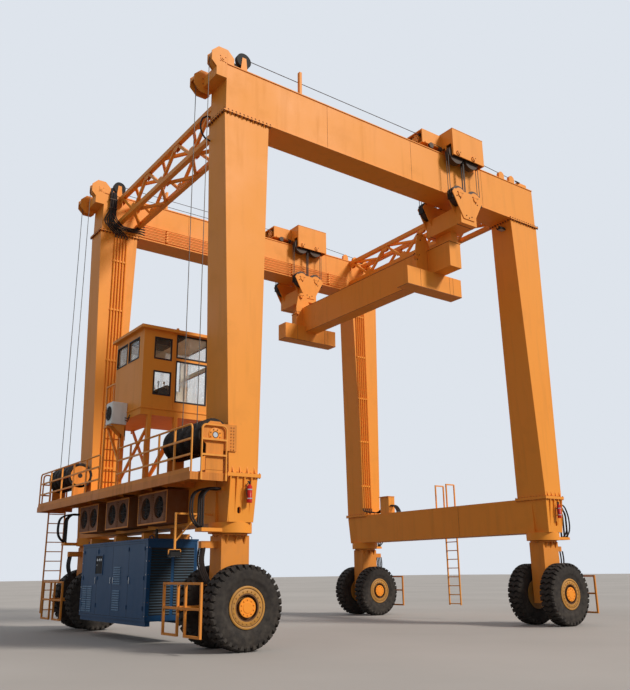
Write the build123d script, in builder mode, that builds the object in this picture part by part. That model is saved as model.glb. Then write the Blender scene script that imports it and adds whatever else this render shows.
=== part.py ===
from build123d import *
import os
from math import atan2, cos, degrees, radians, sin

# Rubber-tyred gantry crane: two girders on four legs, twin wheels at each corner that steer,
# a trolley on each girder and one lifting beam that hangs from both of them.
# Millimetres, +Z up, +X along the girders, origin on the ground under the middle of the crane.

os.makedirs("parts", exist_ok=True)

# Portal
leg_pitch_x = 11180
leg_pitch_y = 8720
girder_underside = 13150
base_top = 3750
leg_top_outer = 650
leg_top_inner = 695
leg_top_depth = 854
leg_foot_outer = 373
leg_foot_inner = 392
leg_foot_depth = 1094
flange_thickness = 40
flange_lip = 55
gusset_height = 110
gusset_thickness = 14
foot_gusset_height = 180
girder_depth = 1425
girder_web_width = 836
girder_plate_width = 884
girder_plate = 26
girder_overhang = 615
stop_post_height = 720
stop_post_place = 1760
stop_block_places = (970, 440)
stop_block_radius = 130
stop_width = 100
anchor_length = 450
anchor_height = 300
anchor_width = 420
rail_spacing = 600
rail_width = 60
rail_height = 75
rail_end_gap = 420

# Lower beams and corner bases
beam_width = 780
beam_depth = 1040
collar_radius = 500
collar_height = 230
base_rib_thickness = 30
base_rib_places = (-215, -30, 160, 335)
base_hole_width = 90
base_hole_height = 150
base_hole_rise = 260
base_foot_width = 640
base_foot_depth = 980

# End trusses
truss_outer_reach = 60
truss_width = 830
truss_depth = 1060
truss_chord = 150
truss_brace = 90
truss_bays = 7

# Wheels and steering
wheel_radius = 900
tyre_width = 480
tyre_offset = 600
rim_radius = 440
rim_width = 420
hub_radius = 205
hub_proud = 12
rim_flange = 60
rim_slope = 60
rim_dish = 130
tyre_bulge = 130
tyre_shoulder = 110
tyre_crown = 35
axle_radius = 90
column_length = 720
column_width = 520
column_gap = 10
column_plate = 40
column_plate_radius = 400
column_gusset_reach = 90
column_gusset_height = 230
steering_arm_length = 420
steering_arm_width = 150
steering_arm_height = 2230
kingpin_radius = 180
kingpin_length = 190
guard_reach = 1150
guard_width = 700
guard_spacing = 1060
guard_bottom = 350
guard_top = 1410
guard_bar = 50
guard_arm = 90
pin_clearance = 0.1
seat_gap = 0.3

# Winches
drum_height = 850
drum_radius = 310
drum_flange_radius = 335
drum_flange = 30
drum_length = 1900
drum_offset = 387
drum_shaft_radius = 70
winch_plate = 30
shaft_proud = 10
winch_plate_radius = 335

# Rope heads
head_radius = 335
head_width = 260
head_plate = 25
head_near_rise = 75
head_far_rise = -270
head_near_reach = 125
head_far_reach = 250
head_near_offset = 300
head_far_offset = 430

# Trolleys, hook blocks and lifting beam
trolley_position = 2400
housing_left = 570
housing_right = 850
housing_half_width = 850
housing_plate = 25
housing_drop = 200
housing_rise = 760
motor_length = 860
motor_width = 700
motor_height = 480
sheave_pitch = 345
sheave_radius = 318
sheave_width = 190
sheave_offset = 660
trolley_pin_drop = 95
pin_boss_radius = 90
pin_boss_height = 30
end_box_length = 130
end_box_width = 600
end_box_span = (325, 625)
motor_recess = 150
motor_wall = 40
motor_radius = 160
rope_diameter = 22
rope_pair_gap = 90
block_pin_height = 13030
block_plate = 28
block_inner_offset = 520
block_outer_offset = 800
block_half_length = 690
block_hump = 230
yoke_bottom = 12080
yoke_height = 600
yoke_length = 700
hanger_length = 500
hanger_width = 1000
hanger_inset = 400
neck_inset = 250
cross_beam_lap = 240
hanger_height = 870
neck_length = 260
neck_width = 700
cross_beam_length = 2400
cross_beam_width = 500
cross_beam_height = 620
cross_beam_bottom = 10260
cross_beam_shift = -200
main_beam_width = 500
main_beam_bottom = 10640
main_beam_height = 1060
link_plate = 40
link_head_radius = 220
link_head_left = 450
link_head_height = 12100
link_foot_left = 400
link_foot_width = 700
link_bosses = ((530, 12160), (710, 11440))
link_boss_radius = 70

# Deck, handrails, cab, ladders
deck_reach = 1360
deck_thickness = 45
deck_edge_depth = 170
deck_near_end = 590
deck_far_end = 1640
rail_top = 1080
rail_bar = 42
rail_corner = 110
rail_shares = (0.36, 0.68)
near_rail_gap = 14
near_rail_places = (250, 870)
far_rail_length = 330
ladder_gate = 150
cab_outer_reach = 1480
cab_length = 2080
cab_near = 2350
cab_width = 1800
cab_floor_height = 1870
cab_floor_depth = 170
cab_height = 2080
cab_wall = 50
cab_post = 100
roof_overhang = 110
roof_thickness = 70
landing_depth = 1030
ladder_width = 420
rung_pitch = 300
rung_width = 30
landing_rail_height = 1100
landing_plate_drop = 40
access_ladder_bottom = 450

# Generator and units under the deck
generator_reach = 960
generator_width = 1350
generator_near = 2310
generator_length = 4510
generator_bottom = 410
generator_height = 2040
cradle_bar = 140
skid_height = 110
skid_width = 120
skid_inset = 30
roof_lip = 18
roof_lip_height = 45
unit_depth = 560
unit_height = 780
unit_gap = 20
unit_spans = ((-3000, -1300), (-700, 900), (1500, 3000))
unit_fan_radius = 270
unit_fan_pitch = 760
unit_fan_recess = 90

# Hoses at the corners, guide sheaves on the girders, cabinet on the right lower beam
hose_diameter = 48
hose_places = (60, 170, 280)
hose_start_height = 3450
hose_reach = 850
hose_bend = 250
hose_pad_reach = 420
hose_bracket_height = 2500
hose_bracket_thickness = 80
guide_sheave_place = -30
guide_sheave_height = 14980
guide_sheave_radius = 220
guide_sheave_width = 120
guide_sheave_offsets = (-240, 260)
guide_pin_radius = 40
guide_bracket = 15
cabinet_start = 2500
cabinet_width = 500
cabinet_depth = 300
cabinet_height = 650
cabinet_hood = 20

# Pipes on the far side
pipe_count = 5
pipe_diameter = 42
pipe_pitch = 105
pipe_gap = 20
clip_width = 60
clip_lean = 0.4
leg_clip_count = 5
girder_clip_count = 5

# Places worked out from the sizes above. The frame's origin lies under the middle of the whole
# crane: the air conditioner reaches furthest left, the wheel guards right, the ladder far away.
conditioner_length = 430
reach_left = leg_pitch_x / 2 + cab_outer_reach + conditioner_length
reach_right = leg_pitch_x / 2 + guard_reach + guard_bar / 2
reach_near = leg_pitch_y / 2 + guard_spacing / 2 + guard_width / 2 + guard_bar / 2
reach_far = leg_pitch_y / 2 + deck_far_end + rail_bar
centre_x = (reach_left - reach_right) / 2
centre_y = (reach_near - reach_far) / 2
left_x = centre_x - leg_pitch_x / 2
right_x = centre_x + leg_pitch_x / 2
near_y = centre_y - leg_pitch_y / 2
far_y = centre_y + leg_pitch_y / 2
girder_top = girder_underside + girder_depth
beam_bottom = base_top - beam_depth
corners = {
    "near_left": (left_x, near_y, -1, -1),
    "near_right": (right_x, near_y, 1, -1),
    "far_left": (left_x, far_y, -1, 1),
    "far_right": (right_x, far_y, 1, 1),
}
sides = {"near": (near_y, -1), "far": (far_y, 1)}
ends = {"left": (left_x, -1), "right": (right_x, 1)}


def block(x, y, z, mode=Mode.ADD):
    """A plain block between two limits along each axis, in the part that is being built."""
    with Locations(((x[0] + x[1]) / 2, (y[0] + y[1]) / 2, (z[0] + z[1]) / 2)):
        Box(x[1] - x[0], y[1] - y[0], z[1] - z[0], mode=mode)


def bar(start, end, width, depth=None, side=None):
    """A square or flat bar from start to end."""
    run = Vector(*end) - Vector(*start)
    plane = Plane(origin=start, z_dir=run) if side is None else Plane(origin=start, x_dir=side, z_dir=run)
    with BuildSketch(plane) as section:
        Rectangle(width, depth or width)
    extrude(section.sketch, amount=run.length)


def round_bars(starts, run, diameter, side_count=6):
    """Like round bars side by side, all with the same run from their starts."""
    plane = Plane(origin=starts[0], z_dir=Vector(*run))
    with BuildSketch(plane) as section:
        with Locations(*[plane.to_local_coords(Vector(*start)) for start in starts]):
            RegularPolygon(diameter / 2, side_count)
    extrude(section.sketch, amount=Vector(*run).length)


def disc(centre, axis, radius, length, mode=Mode.ADD):
    """A cylinder that starts at centre and runs length along axis."""
    with BuildSketch(Plane(origin=centre, z_dir=axis)) as section:
        Circle(radius)
    extrude(section.sketch, amount=length, mode=mode)


def web(points, normal, thickness):
    """A flat plate through three or more points, half its thickness to each side."""
    across = Vector(*normal)
    along = (Vector(*points[1]) - Vector(*points[0])).normalized()
    plane = Plane(origin=Vector(*points[0]) - across * (thickness / 2), x_dir=along, z_dir=across)
    flat = [plane.to_local_coords(Vector(*point)) for point in points]
    with BuildSketch(plane) as outline:
        with BuildLine():
            Polyline(*[(spot.X, spot.Y) for spot in flat], close=True)
        make_face()
    extrude(outline.sketch, amount=thickness)


def rail(points, corner_radius, width, side_count=6):
    """A rail along a bent line of points, its corners rounded to one radius."""
    with BuildLine() as path:
        FilletPolyline(*points, radius=corner_radius)
    start = path.line @ 0
    with BuildSketch(Plane(origin=start, z_dir=path.line % 0)) as section:
        RegularPolygon(width / 2, side_count, major_radius=False)
    sweep(section.sketch, path=path.line)


def finish(part, label):
    """Labels a finished sub-part and writes it to its own file."""
    part.label = label
    export_step(part, f"parts/{label}.step")


def finish_pair(part, name):
    """Writes a near corner's sub-part and its twin at the far corner of the same end."""
    finish(part, name.format("near"))
    finish(part.moved(Location((0, leg_pitch_y, 0))), name.format("far"))


def leg_half_depth(height):
    """Half of a leg's size along Y at a height above the ground."""
    foot = base_top + flange_thickness
    share = (height - foot) / (girder_underside - flange_thickness - foot)
    return (leg_foot_depth + (leg_top_depth - leg_foot_depth) * share) / 2


# Legs, box columns that widen along X going up and along Y going down, with gussets at both flanges
foot_z = base_top + flange_thickness
head_z = girder_underside - flange_thickness
gusset_reach = flange_lip * 0.85
for name, (x, side_x) in ends.items():
    y = near_y
    foot_x = x + side_x * (leg_foot_outer - leg_foot_inner) / 2
    head_x = x + side_x * (leg_top_outer - leg_top_inner) / 2
    foot_length = leg_foot_outer + leg_foot_inner
    head_length = leg_top_outer + leg_top_inner
    with BuildPart() as leg:
        with BuildSketch(Plane.XY.offset(foot_z)):
            with Locations((foot_x, y)):
                Rectangle(foot_length, leg_foot_depth)
        with BuildSketch(Plane.XY.offset(head_z)):
            with Locations((head_x, y)):
                Rectangle(head_length, leg_top_depth)
        loft()
        with BuildSketch(Plane.XY.offset(base_top)):
            with Locations((foot_x, y)):
                Rectangle(foot_length + 2 * flange_lip, leg_foot_depth + 2 * flange_lip)
        extrude(amount=flange_thickness)
        with BuildSketch(Plane.XY.offset(head_z)):
            with Locations((head_x, y)):
                Rectangle(head_length + 2 * flange_lip, leg_top_depth + 2 * flange_lip)
        extrude(amount=flange_thickness)
        for side in (-1, 1):
            for share in (-0.38, -0.13, 0.13, 0.38):
                rib_x = head_x + share * head_length
                face_y = y + side * leg_top_depth / 2
                web(((rib_x, face_y - side * 5, head_z), (rib_x, face_y + side * gusset_reach, head_z),
                     (rib_x, face_y - side * 5, head_z - gusset_height)), (1, 0, 0), gusset_thickness)
                rib_x = foot_x + share * foot_length
                face_y = y + side * leg_foot_depth / 2
                web(((rib_x, face_y - side * 9, foot_z), (rib_x, face_y + side * gusset_reach, foot_z),
                     (rib_x, face_y - side * 9, foot_z + foot_gusset_height)), (1, 0, 0), gusset_thickness)
            for share in (-0.3, 0.3):
                rib_y = y + share * leg_top_depth
                face_x = head_x + side * head_length / 2
                web(((face_x - side * 10, rib_y, head_z), (face_x + side * gusset_reach, rib_y, head_z),
                     (face_x - side * 10, rib_y, head_z - gusset_height)), (0, 1, 0), gusset_thickness)
    finish_pair(leg.part, "leg_{}_" + name)

# Main girders, plate boxes with proud flange plates, two trolley rails on top, travel stops
# and the anchor block where the trolley ropes end
girder_start = left_x - girder_overhang
girder_length = leg_pitch_x + 2 * girder_overhang
girder_end = girder_start + girder_length
guide_x = left_x + guide_sheave_place
for name, (y, side_y) in sides.items():
    web_height = girder_depth - 2 * girder_plate
    stop_y = y - rail_spacing / 2 - rail_width / 2 - stop_width / 2
    with BuildPart() as girder:
        with BuildSketch(Plane.YZ.offset(girder_start)):
            with Locations((y, girder_underside + girder_depth / 2)):
                Rectangle(girder_web_width, web_height)
            with Locations((y, girder_underside + girder_plate / 2), (y, girder_top - girder_plate / 2)):
                Rectangle(girder_plate_width, girder_plate)
        extrude(amount=girder_length)
        for rail_y in (y - rail_spacing / 2, y + rail_spacing / 2):
            block((girder_start + rail_end_gap, girder_end - rail_end_gap),
                  (rail_y - rail_width / 2, rail_y + rail_width / 2), (girder_top, girder_top + rail_height))
        post_x = left_x + stop_post_place
        block((post_x - 40, post_x + 40), (stop_y - stop_width / 2, stop_y + stop_width / 2),
              (girder_top, girder_top + stop_post_height))
        for place in stop_block_places:
            with BuildSketch(Plane(origin=(right_x - place, stop_y - stop_width / 2, girder_top),
                                   x_dir=(1, 0, 0),
                                   z_dir=(0, -1, 0))):
                with Locations((0, stop_block_radius)):
                    Circle(stop_block_radius)
                with Locations((0, stop_block_radius / 2)):
                    Rectangle(2 * stop_block_radius, stop_block_radius)
            extrude(amount=-stop_width)
        block((girder_end - anchor_length, girder_end), (y - anchor_width / 2, y - anchor_width / 2 + 40),
              (girder_top, girder_top + anchor_height * 0.6))
        block((girder_end - anchor_length, girder_end), (y + anchor_width / 2 - 40, y + anchor_width / 2),
              (girder_top, girder_top + anchor_height * 0.6))
        block((girder_end - anchor_length, girder_end), (y - anchor_width / 2, y + anchor_width / 2),
              (girder_top + anchor_height * 0.6, girder_top + anchor_height))
        for offset in guide_sheave_offsets:
            half_gap = guide_sheave_width / 2 + seat_gap
            for plate_y in (y + offset - half_gap - guide_bracket, y + offset + half_gap):
                web(((guide_x - 110, plate_y + guide_bracket / 2, girder_top),
                     (guide_x + 110, plate_y + guide_bracket / 2, girder_top),
                     (guide_x + 60, plate_y + guide_bracket / 2, guide_sheave_height + 70),
                     (guide_x - 60, plate_y + guide_bracket / 2, guide_sheave_height + 70)), (0, 1, 0),
                     guide_bracket)
            disc((guide_x, y + offset - half_gap - 5, guide_sheave_height), (0, 1, 0), guide_pin_radius,
                 2 * half_gap + 10)
    finish(girder.part, f"girder_{name}")

# Guide sheaves for the trolley ropes at the left ends of the girders
with BuildPart() as guides:
    for y, side_y in sides.values():
        for offset in guide_sheave_offsets:
            guide_y = y + offset - guide_sheave_width / 2
            with BuildSketch(Plane(origin=(guide_x, guide_y, guide_sheave_height), x_dir=(1, 0, 0),
                                   z_dir=(0, -1, 0))):
                Circle(guide_sheave_radius)
                Circle(guide_pin_radius + pin_clearance, mode=Mode.SUBTRACT)
            extrude(amount=-guide_sheave_width)
finish(guides.part, "guide_sheaves")

# End trusses, lattice boxes between the two girders: two upright panels with their chords, and
# zigzag bracing that is trimmed to fit between the chords
truss_start = near_y + girder_web_width / 2
truss_end = far_y - girder_web_width / 2
truss_top = girder_top - girder_plate
truss_bottom = truss_top - truss_depth
half_chord = truss_chord / 2
truss_low_z = truss_bottom + half_chord
truss_high_z = truss_top - half_chord
truss_bay = (truss_end - truss_start - 2 * truss_chord) / truss_bays


def zigzag(first, last):
    """Braces that run from one line to the other and back, one in each bay."""
    for number in range(truss_bays):
        bay_start = truss_start + truss_chord + number * truss_bay
        start_at, end_at = (first, last) if number % 2 == 0 else (last, first)
        bar((start_at[0], bay_start, start_at[1]), (end_at[0], bay_start + truss_bay, end_at[1]), truss_brace)


for name, (x, side_x) in ends.items():
    outer_x = x + side_x * (truss_outer_reach - half_chord)
    inner_x = x + side_x * (truss_outer_reach - truss_width + half_chord)
    low_x = min(outer_x, inner_x) + half_chord
    high_x = max(outer_x, inner_x) - half_chord
    panels = []
    for chord_x in (outer_x, inner_x):
        with BuildPart() as panel:
            for chord_z in (truss_low_z, truss_high_z):
                block((chord_x - half_chord, chord_x + half_chord), (truss_start, truss_end),
                      (chord_z - half_chord, chord_z + half_chord))
            zigzag((chord_x, truss_low_z), (chord_x, truss_high_z))
        panels.append(panel.part)
    for chord_z in (truss_low_z, truss_high_z):
        with BuildPart() as bracing:
            zigzag((outer_x, chord_z), (inner_x, chord_z))
            block((low_x, high_x), (truss_start, truss_end), (chord_z - half_chord, chord_z + half_chord),
                  mode=Mode.INTERSECT)
        panels.append(bracing.part)
    finish(Compound([solid for panel in panels for solid in panel.solids()]), f"truss_{name}")

# Lower beams with the corner bases welded to their ends: tapered boxes with ribs on both outer
# faces, a hand hole between the ribs, and a round collar that holds the kingpin
base_top_z = base_top - flange_thickness
for name, (x, side_x) in ends.items():
    base_x = x + side_x * (leg_foot_outer - leg_foot_inner) / 2
    foot_length = leg_foot_outer + leg_foot_inner
    with BuildPart() as beam:
        with BuildSketch(Plane.XZ.offset(-near_y)):
            with Locations((x, base_top - beam_depth / 2)):
                Rectangle(beam_width, beam_depth)
        extrude(amount=-leg_pitch_y)
        for base_y, side_y in ((near_y, -1), (far_y, 1)):
            with BuildSketch(Plane.XY.offset(beam_bottom)):
                with Locations((x, base_y)):
                    Rectangle(base_foot_width, base_foot_depth)
            with BuildSketch(Plane.XY.offset(base_top_z)):
                with Locations((base_x, base_y)):
                    Rectangle(foot_length, leg_foot_depth)
            loft()
            with BuildSketch(Plane.XY.offset(base_top_z)):
                with Locations((base_x, base_y)):
                    Rectangle(foot_length + 2 * flange_lip, leg_foot_depth + 2 * flange_lip)
            extrude(amount=flange_thickness)
            with BuildSketch(Plane.XY.offset(beam_bottom)):
                with Locations((x, base_y)):
                    Circle(collar_radius)
            extrude(amount=-collar_height)
            top_y = base_y + side_y * leg_foot_depth / 2
            low_y = base_y + side_y * base_foot_depth / 2
            lip_y = base_y + side_y * (leg_foot_depth / 2 + gusset_reach)
            ring_y = base_y + side_y * (collar_radius * 0.96)
            for place in base_rib_places:
                rib_x = x + side_x * place
                web(((rib_x, top_y - side_y * 40, base_top_z), (rib_x, lip_y, base_top_z),
                     (rib_x, ring_y, beam_bottom),
                     (rib_x, low_y - side_y * 40, beam_bottom)), (1, 0, 0), base_rib_thickness)
            hose_ys = [base_y + side_y * place for place in hose_places]
            hose_low, hose_high = min(hose_ys) - hose_diameter, max(hose_ys) + hose_diameter
            pad = sorted((x + side_x * (hose_pad_reach - 120), x + side_x * hose_pad_reach))
            block(pad, (hose_low, hose_high), (hose_start_height - hose_diameter,
                                               hose_start_height + hose_diameter))
            shelf = sorted((x + side_x * 380, x + side_x * (hose_reach + hose_diameter)))
            block(shelf, (hose_low, hose_high), (hose_bracket_height,
                                                 hose_bracket_height + hose_bracket_thickness))
            hole_x = x + side_x * (base_rib_places[1] + base_rib_places[2]) / 2
            with BuildSketch(Plane(origin=(hole_x, top_y, beam_bottom + base_hole_rise), x_dir=(1, 0, 0),
                                   z_dir=(0, side_y, 0))):
                SlotOverall(base_hole_height, base_hole_width, rotation=90)
            extrude(amount=-120, mode=Mode.SUBTRACT)
            with BuildSketch(Plane.XY.offset(beam_bottom - collar_height)):
                with Locations((x, base_y)):
                    Circle(kingpin_radius + pin_clearance)
            extrude(amount=kingpin_length + pin_clearance, mode=Mode.SUBTRACT)
    finish(beam.part, f"lower_beam_{name}")

# Hoses that run out from the corner bases and down to the shelves on the collars
with BuildPart() as hoses:
    for x, y, side_x, side_y in corners.values():
        for place in hose_places:
            hose_y = y + side_y * place
            turn_x = x + side_x * hose_reach
            rail([(x + side_x * hose_pad_reach, hose_y, hose_start_height),
                  (turn_x, hose_y, hose_start_height),
                  (turn_x, hose_y, hose_bracket_height + hose_bracket_thickness)], hose_bend, hose_diameter)
finish(hoses.part, "corner_hoses")

# Steering columns, each with its kingpin, gussets, axle bore, steering arm and the wheel guards it carries
column_top = beam_bottom - collar_height - column_gap
plate_top = column_top - column_plate
for name, (x, side_x) in ends.items():
    y = near_y
    guard_x = x + side_x * guard_reach
    with BuildPart() as column:
        with BuildSketch(Plane.XY.offset(wheel_radius - column_width / 2)):
            with Locations((x, y)):
                Rectangle(column_length, column_width)
        extrude(amount=plate_top - wheel_radius + column_width / 2)
        with BuildSketch(Plane.XY.offset(plate_top)):
            with Locations((x, y)):
                Circle(column_plate_radius)
        extrude(amount=column_plate)
        with BuildSketch(Plane.XY.offset(column_top)):
            with Locations((x, y)):
                Circle(kingpin_radius)
        extrude(amount=column_gap + kingpin_length)
        for side in (-1, 1):
            face_y = y + side * column_width / 2
            reach_y = y + side * (column_width / 2 + column_gusset_reach)
            for share in (-0.32, 0, 0.32):
                rib_x = x + share * column_length
                web(((rib_x, face_y - side * 20, plate_top), (rib_x, reach_y, plate_top),
                     (rib_x, face_y - side * 20, plate_top - column_gusset_height)), (1, 0, 0),
                     base_rib_thickness)
        arm_start = x + side_x * (column_length / 2 - 20)
        bar((arm_start, y, steering_arm_height), (arm_start + side_x * steering_arm_length, y,
                                                  steering_arm_height),
            steering_arm_width)
        disc((x, y - column_width / 2, wheel_radius), (0, 1, 0), axle_radius + pin_clearance, column_width,
             mode=Mode.SUBTRACT)
        for arm_y in (y - column_width / 4, y + column_width / 4):
            bar((arm_start, arm_y, wheel_radius), (guard_x, arm_y, wheel_radius), guard_arm)
        cross_half = guard_spacing / 2 + guard_width / 2
        bar((guard_x, y - cross_half, guard_top), (guard_x, y + cross_half, guard_top), guard_bar)
        bar((guard_x, y - cross_half, wheel_radius), (guard_x, y + cross_half, wheel_radius), guard_bar)
        for guard_y in (y - guard_spacing / 2, y + guard_spacing / 2):
            for upright_y in (guard_y - guard_width / 2, guard_y + guard_width / 2):
                bar((guard_x, upright_y, guard_bottom - guard_bar / 2),
                    (guard_x, upright_y, guard_top + guard_bar / 2),
                    guard_bar)
            bar((guard_x, guard_y - guard_width / 2, guard_bottom),
                (guard_x, guard_y + guard_width / 2, guard_bottom),
                guard_bar)
    finish_pair(column.part, "steering_{}_" + name)

# Wheels: two rims on one axle with a hub cap outside, and their tyres
for name, (x, side_x) in ends.items():
    centre = (x, near_y, wheel_radius)
    axle_line = Axis(centre, (0, 1, 0))
    wheel_plane = Plane(origin=centre, x_dir=(0, 1, 0), z_dir=(-1, 0, 0))
    half_rim = rim_width / 2
    half_tyre = tyre_width / 2
    with BuildPart() as rims:
        for side in (-1, 1):
            middle = side * tyre_offset
            with BuildSketch(wheel_plane):
                with BuildLine():
                    Polyline((middle - side * half_rim, 0), (middle - side * half_rim, rim_radius),
                             (middle + side * half_rim, rim_radius),
                             (middle + side * half_rim, rim_radius - rim_flange),
                             (middle + side * (half_rim - rim_dish), rim_radius - rim_flange - rim_slope),
                             (middle + side * (half_rim - rim_dish), hub_radius + rim_flange / 2),
                             (middle + side * (half_rim - rim_dish / 2), hub_radius),
                             (middle + side * (half_rim + hub_proud), hub_radius),
                             (middle + side * (half_rim + hub_proud), 0), close=True)
                make_face()
            revolve(axis=axle_line)
        disc((x, near_y - tyre_offset, wheel_radius), (0, 1, 0), axle_radius, 2 * tyre_offset)
    finish_pair(rims.part, "rims_{}_" + name)
    with BuildPart() as tyres:
        for side in (-1, 1):
            middle = side * tyre_offset
            with BuildSketch(wheel_plane):
                with BuildLine():
                    Polyline((middle - half_rim, rim_radius), (middle + half_rim, rim_radius),
                             (middle + half_tyre, rim_radius + tyre_bulge),
                             (middle + half_tyre, wheel_radius - tyre_shoulder),
                             (middle + half_tyre - tyre_crown, wheel_radius),
                             (middle - half_tyre + tyre_crown, wheel_radius),
                             (middle - half_tyre, wheel_radius - tyre_shoulder),
                             (middle - half_tyre, rim_radius + tyre_bulge),
                             close=True)
                make_face()
            revolve(axis=axle_line)
    finish_pair(tyres.part, "tyres_{}_" + name)

# Winches on the outer faces of the left legs
drum_x = left_x - leg_foot_outer - drum_offset
drum_z = base_top + drum_height
deck_top = base_top
for name, (y, side_y) in sides.items():
    plate_y = y - leg_foot_depth / 2 - winch_plate if name == "near" else y - leg_foot_depth / 2
    drum_start = plate_y + winch_plate + 10
    drum_end = drum_start + drum_length
    shaft_end = drum_end + 10 + winch_plate
    with BuildPart() as winch:
        for end_y in (plate_y, drum_end + 10):
            with BuildSketch(Plane(origin=(drum_x, end_y, drum_z), x_dir=(1, 0, 0), z_dir=(0, -1, 0))):
                RegularPolygon(winch_plate_radius, 8, rotation=22.5)
                with Locations((0, -(drum_height - winch_plate_radius * 0.4) / 2 - winch_plate_radius * 0.2)):
                    Rectangle(winch_plate_radius * 1.3, drum_height - winch_plate_radius * 0.4)
                Circle(drum_shaft_radius + pin_clearance, mode=Mode.SUBTRACT)
            extrude(amount=-winch_plate)
        block((drum_x - winch_plate_radius * 0.65, drum_x + winch_plate_radius * 0.65),
              (plate_y, shaft_end), (deck_top, deck_top + 60))
        if name == "near":
            block((drum_x, left_x - leg_foot_outer + 170), (plate_y, plate_y + winch_plate),
                  (drum_z - winch_plate_radius, drum_z + winch_plate_radius * 0.8))
            disc((drum_x, plate_y, drum_z), (0, 1, 0), drum_shaft_radius + pin_clearance, winch_plate,
                 mode=Mode.SUBTRACT)
    finish(winch.part, f"winch_frame_{name}")
    with BuildPart() as drum:
        disc((drum_x, drum_start, drum_z), (0, 1, 0), drum_radius, drum_length)
        disc((drum_x, drum_start, drum_z), (0, 1, 0), drum_flange_radius, drum_flange)
        disc((drum_x, drum_end - drum_flange, drum_z), (0, 1, 0), drum_flange_radius, drum_flange)
        disc((drum_x, plate_y - shaft_proud, drum_z), (0, 1, 0), drum_shaft_radius,
             shaft_end - plate_y + 2 * shaft_proud)
    finish(drum.part, f"winch_drum_{name}")

# Rope heads at the left ends of the girders: two sheave casings on a bracket
rope_x = drum_x - drum_radius - rope_diameter / 2 - seat_gap
head_places = (
    (girder_start - head_near_reach, -head_near_offset, girder_top + head_near_rise),
    (girder_start - head_far_reach, head_far_offset, girder_top + head_far_rise),
)
for name, (y, side_y) in sides.items():
    with BuildPart() as head:
        for sheave_x, offset, sheave_z in head_places:
            casing_start = y + offset - head_width / 2
            for plate_y in (casing_start, casing_start + head_width - head_plate):
                with BuildSketch(Plane(origin=(sheave_x, plate_y, sheave_z), x_dir=(1, 0, 0),
                                       z_dir=(0, -1, 0))):
                    RegularPolygon(head_radius, 8, major_radius=False, rotation=22.5)
                extrude(amount=-head_plate)
            with BuildSketch(Plane(origin=(sheave_x, casing_start, sheave_z), x_dir=(1, 0, 0),
                                   z_dir=(0, -1, 0))):
                Circle(head_radius)
                Circle(head_radius - head_plate, mode=Mode.SUBTRACT)
                with Locations((0, -head_radius)):
                    Rectangle(2 * head_radius, 2 * head_radius, mode=Mode.SUBTRACT)
            extrude(amount=-head_width)
            sheave = sheave_x - rope_x - rope_diameter / 2 - seat_gap
            disc((sheave_x, casing_start, sheave_z), (0, 1, 0), 50, head_width)
            disc((sheave_x, casing_start + 60, sheave_z), (0, 1, 0), sheave, head_width - 120)
        near_x, near_offset, near_z = head_places[0]
        far_x, far_offset, far_z = head_places[1]
        block((far_x - 60, girder_start), (y + near_offset - head_width / 2,
                                           y + far_offset - head_width / 2 + head_plate),
              (far_z - 190, far_z + 100))
        block((girder_start, girder_start + girder_length), (y - girder_plate_width, y + girder_plate_width),
              (girder_underside, girder_top), mode=Mode.SUBTRACT)
    finish(head.part, f"rope_head_{name}")

# Ropes from the winch drums up to the rope heads
with BuildPart() as winch_ropes:
    for sheave_x, offset, sheave_z in head_places:
        round_bars([(rope_x, y + offset, drum_z) for y, side_y in sides.values()], (0, 0, sheave_z - drum_z),
                   rope_diameter)
finish(winch_ropes.part, "winch_ropes")

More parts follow.
